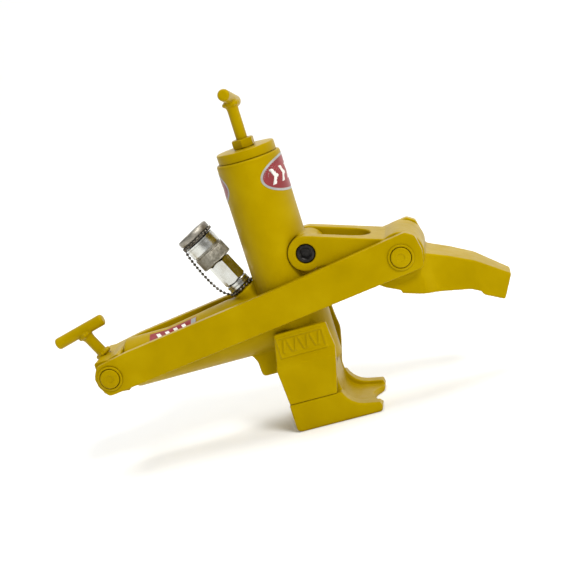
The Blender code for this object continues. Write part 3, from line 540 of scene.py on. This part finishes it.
castings = {
    "bodyCasting": {"nodes": ["body_casting"], "body": "body", "grid": 0.0011, "passes": 7},
    "clawArm": {"nodes": ["claw_arm"], "body": "claw", "grid": 0.0010, "passes": 6},
    "crossheadBlock": {"nodes": ["crosshead"], "body": "clamp", "grid": 0.0008, "passes": 4},
    "footBlock": {"nodes": ["foot_block"], "body": "foot", "grid": 0.0009, "passes": 7},
}


def makeCasting(name, setup):
    shape = softened(merged([nodeShape(node) for node in setup["nodes"]]), setup["grid"], setup["passes"])
    finishPiece(shape, name, castEnamel, setup["body"], setup["nodes"], 0)


for name, setup in castings.items():
    makeCasting(name, setup)
print("castings made")


# Foot cheeks: a swelled lower half, a ledge, and a framed raised panel with plain ribs

cheekSetup = {
    "frameLeft": 0.0080,    # from the cheek's own sides
    "frameRight": 0.0070,
    "frameLow": 0.0785,
    "frameHigh": 0.1000,
    "frameWidth": 0.0016,
    "ribFoot": 0.0050,      # from the frame's lower edge up to the ribs
    "ribTop": 0.0040,       # from the ribs up to the frame's upper edge
    "sink": 0.0020,         # how deep frame and ribs reach into the panel
    "raise": 0.0012,
    "ribs": 7,
    "ribWidth": 0.0018,
    "ribLean": 0.0016,
    "upperFace": 0.0042,    # how far the upper half stands back from the lower
    "grid": 0.0007,
    "passes": 3,
}


def block(low, high):
    # A box between two opposite corners.
    shape = bmesh.new()
    bmesh.ops.create_cube(shape, size=1)
    size = Vector(high) - Vector(low)
    place = Matrix.Translation((Vector(high) + Vector(low)) / 2)
    bmesh.ops.transform(shape, matrix=place @ Matrix.Diagonal((*size, 1)), verts=shape.verts)
    return shape


def makeCheek(side, sign, setup):
    node = f"foot_cheek_{side}"
    low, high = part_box(node)
    panelFace = max(abs(low.y), abs(high.y)) - setup["upperFace"]
    left, right = low.x + setup["frameLeft"], high.x - setup["frameRight"]
    bottom, top, width = setup["frameLow"], setup["frameHigh"], setup["frameWidth"]
    near, far = sorted((sign * (panelFace - setup["sink"]), sign * (panelFace + setup["raise"])))
    shapes = [nodeShape(node)]
    for x0, z0, x1, z1 in ((left, bottom, right, bottom + width), (left, top - width, right, top),
                           (left, bottom, left + width, top), (right - width, bottom, right, top)):
        shapes.append(block((x0, near, z0), (x1, far, z1)))
    half = setup["ribWidth"] / 2
    foot, head = bottom + setup["ribFoot"], top - setup["ribTop"]
    for rib in range(setup["ribs"]):
        middle = left + (right - left) * (rib + 1) / (setup["ribs"] + 1)
        lean = setup["ribLean"] * (-1 if rib % 2 else 1)
        shapes.append(pushed([(middle - half - lean, foot), (middle + half - lean, foot),
                              (middle + half + lean, head), (middle - half + lean, head)], near, far))
    shape = softened(merged(shapes), setup["grid"], setup["passes"])
    finishPiece(shape, f"footCheek{side.title()}", castEnamel, "foot", [node], 0)


for side, sign in (("near", -1), ("far", 1)):
    makeCheek(side, sign, cheekSetup)
print("foot cheeks made")


# Side links: flame-cut plate with its corners broken by a grinder and rounded by paint

linkSetup = {"grid": 0.0010, "passes": 3}
for side in ("near", "far"):
    node = f"side_link_{side}"
    finishPiece(softened(nodeShape(node), linkSetup["grid"], linkSetup["passes"]), f"sideLink{side.title()}",
                plateEnamel, "links", [node], 0)
print("links made")


# Link pins and their rings

pinSetup = {
    "edge": 0.0012,
    "dish": 0.0005,         # shallow turning centre in each end
    "dishOuter": 0.42,      # as a share of the pin's radius
    "dishInner": 0.36,
    "ringGap": 0.0006,      # dark line round the pin
    "ringFoot": 0.0003,
    "ringEdge": 0.0005,
    "ringMouth": 0.0004,
    "ringTaper": 0.0001,
    "sides": 72,
}


def pinShape(radius, inner, outer, setup):
    profile = rolled(radius, inner, outer, setup["edge"])
    floor = outer - setup["dish"]
    dish = [(radius * setup["dishOuter"], outer), (radius * setup["dishInner"], floor), (0, floor)]
    return spun(profile[:-1] + dish, setup["sides"])


def ringShape(bore, outside, inner, outer, setup):
    edge, mouth = setup["ringEdge"], setup["ringMouth"]
    return spun([(bore, inner), (outside - setup["ringTaper"], inner), (outside, inner + setup["ringFoot"]),
                 (outside, outer - edge), (outside - edge, outer), (bore + mouth, outer),
                 (bore, outer - mouth)], setup["sides"])


def makePins(setup):
    for end, at, body in (("crosshead", rearPin, "clamp"), ("claw", clawPin, "claw")):
        for side, sign in (("near", -1), ("far", 1)):
            ringNode = f"{end}_pin_ring_{side}"
            low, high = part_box(ringNode)
            inner, outer = sorted((abs(low.y), abs(high.y)))
            pinNode = f"crosshead_pin_{side}" if end == "crosshead" else "claw_pin"
            pinLow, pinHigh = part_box(pinNode)
            radius = (pinHigh.z - pinLow.z) / 2
            ring = ringShape(radius + setup["ringGap"], (high.z - low.z) / 2, inner, outer, setup)
            finishPiece(turned(ring, at, (0, sign, 0)), f"{end}PinRing{side.title()}", barEnamel, body,
                        [ringNode])
            reach = max(abs(pinLow.y), abs(pinHigh.y))
            start = min(abs(pinLow.y), abs(pinHigh.y)) if end == "crosshead" else 0.0
            shape = turned(pinShape(radius, start, reach, setup), at, (0, sign, 0))
            finishPiece(shape, f"{end}Pin{side.title()}", barEnamel, body,
                        [pinNode] if end == "crosshead" or side == "near" else [])


makePins(pinSetup)
print("pins made")


# Pivot screw: black socket head cap screw with a knurled head

screwSetup = {
    "head": 0.0090,         # radius
    "headHeight": 0.0090,
    "ridges": 44,
    "ridgeSteps": 4,        # points to a ridge
    "ridgeDepth": 0.00022,
    "shoulder": 0.0080,     # radius
    "shoulderEdge": 0.0010,
    "socket": 0.0050,       # half of the key size
    "socketShare": 0.55,    # of the head's height
    "mouthOuter": 1.24,     # of the socket's half size
    "mouthInner": 1.16,
    "mouthDepth": 0.0005,
    "socketStart": 0.0008,
    "edge": 0.0008,
    "footEdge": 0.0004,
    "footTaper": 0.0002,
}


def makeScrew(setup):
    low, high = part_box("pivot_screw")
    reach, tail = -low.y, -high.y
    seat = reach - setup["headHeight"]
    sides = setup["ridges"] * setup["ridgeSteps"]
    shape = bmesh.new()

    def knurled(radius):
        depth, turn = setup["ridgeDepth"], 2 * math.pi / setup["ridgeSteps"]
        return lambda step: radius - depth * (0.5 - 0.5 * math.cos(turn * step))

    def hexagon(step):
        return hexReach(key * 2, step, sides)

    head, edge, key, shoulder = setup["head"], setup["edge"], setup["socket"], setup["shoulder"]
    rounded = setup["shoulderEdge"]
    rings = [ringOf(shape, sides, height, radius) for height, radius in (
        (tail, shoulder - rounded), (tail + rounded, shoulder), (seat, shoulder),
        (seat, head - setup["footTaper"]), (seat + setup["footEdge"], knurled(head)),
        (reach - edge, knurled(head)), (reach - edge * 0.3, head - edge * 0.35), (reach, head - edge),
        (reach, key * setup["mouthOuter"]), (reach - setup["mouthDepth"], key * setup["mouthInner"]),
        (reach - setup["socketStart"], hexagon),
        (reach - setup["headHeight"] * setup["socketShare"], hexagon))]
    stitch(shape, rings, False)
    finishPiece(turned(shape, pivot, (0, -1, 0)), "pivotScrew", blackOxide, "claw",
                ["pivot_screw"])


makeScrew(screwSetup)


# Barrel cap and lock nut

capSetup = {
    "edge": 0.0016,
    "spigot": 0.0270,       # radius of the part inside the barrel
    "seatGap": 0.0003,
    "seatEdge": 0.0004,
    "stem": 0.0064,         # radius of the hole for the handle's stem
    "stemEdge": 0.0003,
    "stemDepth": 0.0060,
    "nutEdge": 0.0009,
    "nutFlats": 0.0205,
    "sides": 96,
}
hexSetup = {"sides": 96, "steps": 6, "turnedTo": 0.97}      # turnedTo: end circle as a share of the flats


def hexBar(flats, low, high, chamfer, bore=0.0, setup=hexSetup):
    # A hexagon bar or nut with turned chamfers at both ends.
    shape = bmesh.new()
    sides, steps = setup["sides"], setup["steps"]
    corner, circle = flats / math.sqrt(3), flats / 2 * setup["turnedTo"]

    def cut(limit):
        return lambda step: min(hexReach(flats, step, sides), limit)

    ends = [(chamfer * part / steps, circle + (corner - circle) * part / steps)
            for part in range(steps + 1)]
    rings = [ringOf(shape, sides, low + rise, cut(limit)) for rise, limit in ends]
    rings += [ringOf(shape, sides, high - rise, cut(limit)) for rise, limit in reversed(ends)]
    if bore:
        rings += [ringOf(shape, sides, height, bore) for height in (high, low)]
    stitch(shape, rings, bool(bore))
    return shape


def makeTop(setup):
    low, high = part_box("barrel_cap")
    radius, edge, stem = high.x, setup["edge"], setup["stem"]
    seat, floor = castingHigh.z + setup["seatGap"], castingHigh.z - setup["stemDepth"]
    profile = [(0, low.z), (setup["spigot"], low.z), (setup["spigot"], seat),
               (radius - setup["seatEdge"], seat), (radius, seat + setup["seatEdge"])]
    profile += [(radius - edge + edge * math.cos(a), high.z - edge + edge * math.sin(a))
                for a in [math.pi / 2 * step / 5 for step in range(6)]]
    profile += [(stem + setup["stemEdge"], high.z), (stem, high.z - setup["stemEdge"]),
                (stem, floor), (0, floor)]
    finishPiece(spun(profile, setup["sides"]), "barrelCap", barEnamel, "body",
                ["barrel_cap"])
    low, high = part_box("handle_lock_nut")
    finishPiece(hexBar(setup["nutFlats"], low.z, high.z, setup["nutEdge"], stem), "handleLockNut", barEnamel,
                "body", ["handle_lock_nut"], 25)


makeTop(capSetup)


# T-handles: bar welded across a stem, with the bead left as laid

topTilt, rearTilt = math.radians(13), math.radians(13.6)
handles = {
    "topHandle": {"node": "top_handle", "body": "top_handle",
                  "way": (0, -math.cos(topTilt), math.sin(topTilt)),
                  "foot": (0, 0, castingHigh.z - 0.0057), "flare": 0.0030},
    "rearHandle": {"node": "rear_handle", "body": "clamp",
                   "way": (math.cos(rearTilt), 0, math.sin(rearTilt)),
                   "lean": 26,          # degrees, backward
                   "offset": 0.0025,    # weld along the bar from its middle
                   "reach": 0.0399,     # foot to weld
                   "seat": 0.0078,      # second bead, up from the foot
                   "flare": 0.0024},
}
handleSetup = {
    "bar": 0.00625,         # radius
    "length": 0.0585,
    "stem": 0.0058,         # radius
    "edge": 0.0030,
    "footEdge": 0.0006,
    "swellLow": 0.0130,     # the stem swells toward the weld, from here below it
    "swellHigh": 0.0100,
    "swell": 0.0003,
    "flareDrop": 0.70,      # of the bar's radius, below the weld
    "topDrop": 0.30,
    "beadDrop": 0.92,
    "bead": 0.0025,
    "beadStand": 0.0006,    # bead's middle, out from the stem
    "beadFlat": 0.90,
    "ripples": 13,
    "ripple": 0.14,
    "waves": 3,
    "wave": 0.10,
    "around": 78,
    "across": 10,
    "barSides": 56,
    "stemSides": 48,
    "grid": 0.00045,
    "passes": 5,
}


def weldBead(at, way, setup):
    # A ring of weld round the stem, with its ripples.
    shape = bmesh.new()
    radius, around, across = setup["stem"] + setup["beadStand"], setup["around"], setup["across"]
    rings = []
    for step in range(around):
        a = 2 * math.pi * step / around
        swell = (1 + setup["ripple"] * math.sin(a * setup["ripples"])
                 + setup["wave"] * math.sin(a * setup["waves"] + 1))
        ring = []
        for part in range(across):
            b = 2 * math.pi * part / across
            r = radius + setup["bead"] * swell * math.cos(b)
            ring.append(shape.verts.new((r * math.cos(a), r * math.sin(a),
                                         setup["bead"] * swell * setup["beadFlat"] * math.sin(b))))
        rings.append(ring)
    stitch(shape, rings, True)
    return turned(shape, at, way)


def makeHandle(name, setup, common):
    barMiddle = middleOf(f"{setup['node']}_bar")
    if "lean" in setup:
        lean = math.radians(setup["lean"])
        run = Vector((-math.sin(lean), 0, math.cos(lean)))
        weld = barMiddle + Vector(setup["way"]) * setup["offset"]
        foot = weld - run * setup["reach"]
    else:
        weld, foot = barMiddle, Vector(setup["foot"])
        run = (weld - foot).normalized()
    half, thick, stem, long = common["length"] / 2, common["bar"], common["stem"], (weld - foot).length
    bar = spun(rolled(thick, -half, half, common["edge"], 6), common["barSides"])
    top = long - thick * common["topDrop"]
    profile = [(0, 0), (stem - common["footEdge"], 0), (stem, common["footEdge"]),
               (stem, long - common["swellLow"]), (stem + common["swell"], long - common["swellHigh"]),
               (stem + setup["flare"], long - thick * common["flareDrop"]), (stem, top), (0, top)]
    shapes = [turned(bar, barMiddle, setup["way"]), turned(spun(profile, common["stemSides"]), foot, run),
              weldBead(foot + run * (long - thick * common["beadDrop"]), run, common)]
    if "seat" in setup:
        shapes.append(weldBead(foot + run * setup["seat"], run, common))
    finishPiece(softened(merged(shapes), common["grid"], common["passes"]), name, barEnamel, setup["body"],
                [f"{setup['node']}_bar", f"{setup['node']}_stem"], 0)


for name, setup in handles.items():
    makeHandle(name, setup, handleSetup)
print("handles made")


# Quick coupler: adapter, hexagon body, knurled collar, dust cap

couplerSetup = {
    "hexFlats": 0.0220,
    "hexStart": 0.0073,
    "hexEnd": 0.0343,
    "hexChamfer": 0.0016,
    "neckRadius": 0.0098,
    "noseRadius": 0.0130,
    "boreRadius": 0.0060,
    "boreDepth": 0.0150,
    "collarRadius": 0.0172,
    "collarStart": 0.0346,
    "collarEnd": 0.0633,
    "collarGap": 0.0003,    # between the collar and the nose
    "knurlShare": 0.48,
    "knurlPitch": 1.7,      # mm, coarser than the real 1 mm so that it shows
    "knurlDepth": 0.00045,
    "knurlSteps": 6,        # points to a diamond
    "plugRadius": 0.0057,
    "plugDepth": 0.0118,
    "capNeck": 0.0156,
    "capStart": 0.0639,
    "discStart": 0.0675,
    "discEnd": 0.0745,
    "discRadius": 0.0180,
    "rimRidges": 72,
    "rimSteps": 4,          # points to a ridge
    "rimDepth": 0.00018,
    "sides": 80,
}
# Flange of the port adapter, with a groove, as (radius, height) from the port's face
flangeProfile = [(0, -0.0096), (0.0075, -0.0096), (0.0075, 0.0), (0.0118, 0.0), (0.0125, 0.0006),
                 (0.0125, 0.0028), (0.0119, 0.0032), (0.0119, 0.0038), (0.0125, 0.0042), (0.0125, 0.0064),
                 (0.0118, 0.0070), (0, 0.0070)]


def knurledBand(shape, radius, low, high, setup):
    # Rings of points over a diamond knurl that fades out at both ends.
    points = setup["knurlSteps"]
    around = round(2 * math.pi * radius * 1000 / setup["knurlPitch"])
    rows = max(8, round((high - low) * 1000 / setup["knurlPitch"] * points))
    rings = []
    for row in range(rows + 1):
        height = low + (high - low) * row / rows
        rise = (height - low) * 1000 / setup["knurlPitch"]
        fade = min(1, row / 3, (rows - row) / 3)

        def depth(step):
            one = abs((step / points + rise) % 1 - 0.5) * 2
            two = abs((step / points - rise) % 1 - 0.5) * 2
            return radius - setup["knurlDepth"] * (1 - min(one, two)) * fade

        rings.append(ringOf(shape, around * points, height, depth))
    return rings


def onPort(shape, name, finish, body, node, sharp):
    finishPiece(turned(shape, portFoot, portWay), name, finish, body, [node], sharp)


def makeBody(setup):
    onPort(spun(flangeProfile, setup["sides"]), "portAdapter", zincPlate, "body", "port_adapter", 28)
    low, high, end = setup["hexStart"], setup["hexEnd"], setup["collarEnd"]
    hexPart = hexBar(setup["hexFlats"], low, high, setup["hexChamfer"])
    neck, nose, bore = setup["neckRadius"], setup["noseRadius"], setup["boreRadius"]
    floor = end - setup["boreDepth"]
    front = spun([(0, high - 0.001), (neck, high - 0.001), (neck, high + 0.0003), (nose, high + 0.0004),
                  (nose, end - 0.001), (nose - 0.0008, end + 0.0002), (bore, end + 0.0002), (bore, floor),
                  (0, floor)], setup["sides"])
    onPort(merged([hexPart, front]), "couplerBody", zincPlate, "body", "coupler_body", 25)


def makeCollar(setup):
    shape = bmesh.new()
    start, end, radius = setup["collarStart"], setup["collarEnd"], setup["collarRadius"]
    knurlEnd = start + (end - start) * setup["knurlShare"]
    inner = setup["noseRadius"] + setup["collarGap"]
    band = knurledBand(shape, radius, start + 0.0008, knurlEnd, setup)
    sides = len(band[0])
    below = plainRings(shape, sides, [
        (inner, start), (radius - 0.0009, start), (radius - 0.0002, start + 0.0006)])
    above = plainRings(shape, sides, [
        (radius - 0.0002, knurlEnd + 0.0003), (radius - 0.0011, knurlEnd + 0.0007),
        (radius - 0.0011, knurlEnd + 0.0022), (radius - 0.0004, knurlEnd + 0.0027),
        (radius - 0.0004, end - 0.0032), (radius - 0.0009, end - 0.0030), (radius - 0.0009, end - 0.0024),
        (radius - 0.0004, end - 0.0022), (radius - 0.0004, end - 0.0008), (radius - 0.0012, end),
        (inner, end)])
    stitch(shape, below + band + above, True)
    smoothFrom = knurlEnd + 0.0024      # above the groove the collar is turned smooth
    for face in shape.faces:
        face.material_index = 1 if face.calc_center_median().z > smoothFrom else 0
    onPort(shape, "couplerCollar", [knurledZinc, zincPlate], "collar", "coupler_collar", 30)


def makeDustCap(setup):
    shape = bmesh.new()
    disc, start, end = setup["discRadius"], setup["discStart"], setup["discEnd"]
    plug, neck, seat = setup["plugRadius"], setup["capNeck"], setup["capStart"]
    tip = seat - setup["plugDepth"]
    sides = setup["rimRidges"] * setup["rimSteps"]

    def ridged(step):
        return disc - setup["rimDepth"] * (0.5 - 0.5 * math.cos(2 * math.pi * step / setup["rimSteps"]))

    rim = [ringOf(shape, sides, height, ridged) for height in (start + 0.0012, end - 0.0018)]
    below = plainRings(shape, sides, [
        (plug - 0.0008, tip), (plug, tip + 0.0008), (plug, seat), (neck, seat), (neck, start),
        (disc - 0.0010, start), (disc - 0.0002, start + 0.0008)])
    above = plainRings(shape, sides, [
        (disc - 0.0004, end - 0.0010), (disc - 0.0014, end - 0.0002), (disc - 0.0026, end), (0.0100, end),
        (0.0096, end - 0.0004), (0.0040, end - 0.0004)])
    stitch(shape, below + rim + above, False)
    onPort(shape, "dustCap", alloyCap, "dust_cap", "dust_cap", 30)


makeBody(couplerSetup)
makeCollar(couplerSetup)
makeDustCap(couplerSetup)
print("coupler made")


# Labels: thin printed film with a generic mark, no lettering

barrelLabel = {
    "halfWidth": 0.0420,
    "halfHeight": 0.0190,
    "belowTop": 0.0235,     # its middle, below the barrel's top
    "border": 0.0024,
    "film": 0.00018,        # how far it stands off the barrel
    "ink": 0.00006,         # each further colour stands this far off the one under it
    "marks": (-0.026, -0.013, 0.0, 0.013, 0.026),
    "markHalf": (0.0052, 0.0078),
    "markNotch": 0.0008,
}
labelFaces = {"labelFront": 2.0, "labelBack": 150.0}     # degrees round the barrel from +X


def filmOn(shape, radius, height, azimuth, outline, lift, index, rows=10):
    # A filled outline, in metres across and up, laid on the barrel as a fan of small faces.
    centre = (sum(a for a, b in outline) / len(outline), sum(b for a, b in outline) / len(outline))
    rings, r = [], radius + lift
    for row in range(1, rows + 1):
        share = row / rows
        ring = []
        for a, b in outline:
            u = centre[0] + (a - centre[0]) * share
            w = centre[1] + (b - centre[1]) * share
            angle = math.radians(azimuth) + u / radius
            ring.append(shape.verts.new((r * math.cos(angle), r * math.sin(angle), height + w)))
        rings.append(ring)
    count = len(outline)
    angle = math.radians(azimuth) + centre[0] / radius
    middle = shape.verts.new((r * math.cos(angle), r * math.sin(angle), height + centre[1]))
    for step in range(count):
        after = (step + 1) % count
        face = shape.faces.new((middle, rings[0][step], rings[0][after]))
        face.material_index = index
    for one, two in zip(rings, rings[1:]):
        for step in range(count):
            after = (step + 1) % count
            face = shape.faces.new((one[step], two[step], two[after], one[after]))
            face.material_index = index


def ellipse(halfWidth, halfHeight, steps=64):
    return [(halfWidth * math.cos(2 * math.pi * s / steps), halfHeight * math.sin(2 * math.pi * s / steps))
            for s in range(steps)]


def makeBarrelLabel(name, azimuth, setup):
    shape = bmesh.new()
    wide, tall, film, border = setup["halfWidth"], setup["halfHeight"], setup["film"], setup["border"]
    (across, up), notch, ink = setup["markHalf"], setup["markNotch"], setup["ink"]
    height = castingHigh.z - setup["belowTop"]
    filmOn(shape, barrelRadius, height, azimuth, ellipse(wide, tall), film, 0)
    filmOn(shape, barrelRadius, height, azimuth, ellipse(wide - border, tall - border), film + ink, 1)
    for shift in setup["marks"]:
        mark = [(shift - across, -up), (shift - notch, -up), (shift + across, 0.0), (shift - notch, up),
                (shift - across, up), (shift + notch, 0.0)]
        filmOn(shape, barrelRadius, height, azimuth, mark, film + ink * 2, 2)
    finishPiece(shape, name, [silverFilm, redFilm, whiteFilm], "body", [], 0)


for name, azimuth in labelFaces.items():
    makeBarrelLabel(name, azimuth, barrelLabel)


housingLabel = {
    "start": -0.1530,
    "end": -0.1000,
    "from": 14.0,           # degrees round the housing from its top
    "to": 62.0,
    "film": 0.00020,
    "ink": 0.00006,
    "bars": 4,
    "barStart": 0.0100,
    "barPitch": 0.0095,
    "barWidth": 0.0042,
    "barLean": 0.0060,
    "barInset": (8, -12),   # degrees in from the label's two long edges
    "band": (0.0060, 0.0005),   # plain band, from the label's end
    "bandInset": 2,
}
# The ram housing is straight as far as the taper, then widens to its root
housingSetup = {
    "straightEnd": -0.135,
    "taperEnd": -0.066,
    "radius": 0.0260,
    "rootRadius": 0.0315,
    "axis": 0.1062,         # height
}


def housingRadiusAt(x, setup):
    taper = (x - setup["straightEnd"]) / (setup["taperEnd"] - setup["straightEnd"])
    growth = (setup["rootRadius"] - setup["radius"]) * min(1, max(0, taper))
    return setup["radius"] + growth, setup["axis"] + growth


def makeHousingLabel(setup):
    shape = bmesh.new()
    steps, rows = 36, 16

    def patch(x0, x1, start, stop, lean, lift, index):
        grid = []
        for row in range(rows + 1):
            angle = math.radians(start + (stop - start) * row / rows)
            line = []
            for step in range(steps + 1):
                x = x0 + (x1 - x0) * step / steps + lean * (row / rows - 0.5)
                radius, middle = housingRadiusAt(x, housingSetup)
                r = radius + lift
                line.append(shape.verts.new((x, -r * math.sin(angle), middle + r * math.cos(angle))))
            grid.append(line)
        for one, two in zip(grid, grid[1:]):
            for step in range(steps):
                face = shape.faces.new((one[step], one[step + 1], two[step + 1], two[step]))
                face.material_index = index

    start, stop, film = setup["from"], setup["to"], setup["film"]
    inked = film + setup["ink"]
    patch(setup["start"], setup["end"], start, stop, 0.0, film, 1)
    low, high = setup["barInset"]
    for bar in range(setup["bars"]):
        x = setup["start"] + setup["barStart"] + bar * setup["barPitch"]
        patch(x, x + setup["barWidth"], start + low, stop + high, setup["barLean"], inked, 2)
    back, front = setup["band"]
    inset = setup["bandInset"]
    patch(setup["end"] - back, setup["end"] - front, start + inset, stop - inset, 0.0, inked, 0)
    finishPiece(shape, "housingLabel", [silverFilm, redFilm, whiteFilm], "body", [], 0)


makeHousingLabel(housingLabel)
print("labels made")


# The pieces kept as the CAD made them get their real finish

finishSharp = 32            # degrees
finishes = (
    (groundSteel, ("clamp_rod", "clamp_piston", "clamp_gland", "foot_ram", "foot_pin", "ram_gland",
                   "pull_rod", "spring_plate")),
    (springWire, ("clamp_spring", "foot_spring")),
    (nitrile, ("clamp_piston_seal", "clamp_rod_wiper", "ram_seal")),
    (sinteredBronze, ("pivot_bush",)),
    (zincPlate, ("pull_rod_nut",)),
)
for finish, names in finishes:
    for name in names:
        data = nodes[name].data
        data.materials.clear()
        data.materials.append(finish)
        data.shade_smooth()
        data.set_sharp_from_angle(angle=math.radians(finishSharp))


# Studio: pale floor that curves up behind, large soft lights

studio = {
    "floor": "#FAFAF8",
    "key": {"place": (2.6, -2.9, 3.6), "size": 1.6, "power": 200.0},
    "fill": {"place": (-3.2, -2.4, 1.8), "size": 2.4, "power": 6.0},
    "top": {"place": (0.3, 0.8, 4.4), "size": 3.2, "power": 125.0},
    "world": 0.38,
    "target": (0, 0, 0.15),     # where the lights point
    "halfWidth": 9.0,
    "front": -6.0,
    "bend": 2.4,            # where the floor starts to curve up
    "bendRadius": 1.6,
    "bendSteps": 14,
    "height": 7.0,
    "drop": 0.0002,         # below the part's base
}


def makeFloor(setup):
    bend, radius, steps, wide = setup["bend"], setup["bendRadius"], setup["bendSteps"], setup["halfWidth"]
    around = [math.pi / 2 * step / steps for step in range(1, steps + 1)]
    run = [(setup["front"], 0.0), (bend, 0.0)]
    run += [(bend + radius * math.sin(a), radius - radius * math.cos(a)) for a in around]
    run += [(bend + radius, setup["height"])]
    shape = bmesh.new()
    left, right = ([shape.verts.new((x, y, z - setup["drop"])) for y, z in run] for x in (-wide, wide))
    for index in range(len(run) - 1):
        shape.faces.new((left[index], right[index], right[index + 1], left[index + 1]))
    mesh = bpy.data.meshes.new("studioFloor")
    shape.to_mesh(mesh)
    shape.free()
    mesh.shade_smooth()
    # Matt paint on a studio floor: a clean near-white that takes a soft shadow.
    made, tree = startMaterial("paintedStudioFloor")
    shader = add(tree, "ShaderNodeBsdfPrincipled", {"Base Color": linear(setup["floor"]), "Roughness": 0.85})
    add(tree, "ShaderNodeOutputMaterial", None, {"Surface": (shader, "BSDF")})
    mesh.materials.append(made)
    floor = bpy.data.objects.new("studioFloor", mesh)
    scene.collection.objects.link(floor)


def makeLight(name, setup, target):
    data = bpy.data.lights.new(name, "AREA")
    data.shape = "DISK"
    data.size = setup["size"]
    data.energy = setup["power"]
    light = bpy.data.objects.new(name, data)
    light.location = setup["place"]
    light.rotation_mode = "QUATERNION"
    light.rotation_quaternion = (Vector(target) - Vector(setup["place"])).to_track_quat("-Z", "Y")
    scene.collection.objects.link(light)


makeFloor(studio)
for name in ("key", "fill", "top"):
    makeLight(f"{name}Light", studio[name], studio["target"])
world = bpy.data.worlds.new("studioWorld")
world.use_nodes = True
background = world.node_tree.nodes["Background"]
background.inputs["Color"].default_value = linear("#FFFFFF")
background.inputs["Strength"].default_value = studio["world"]
scene.world = world
scene.view_settings.view_transform = "Standard"
print("studio set")
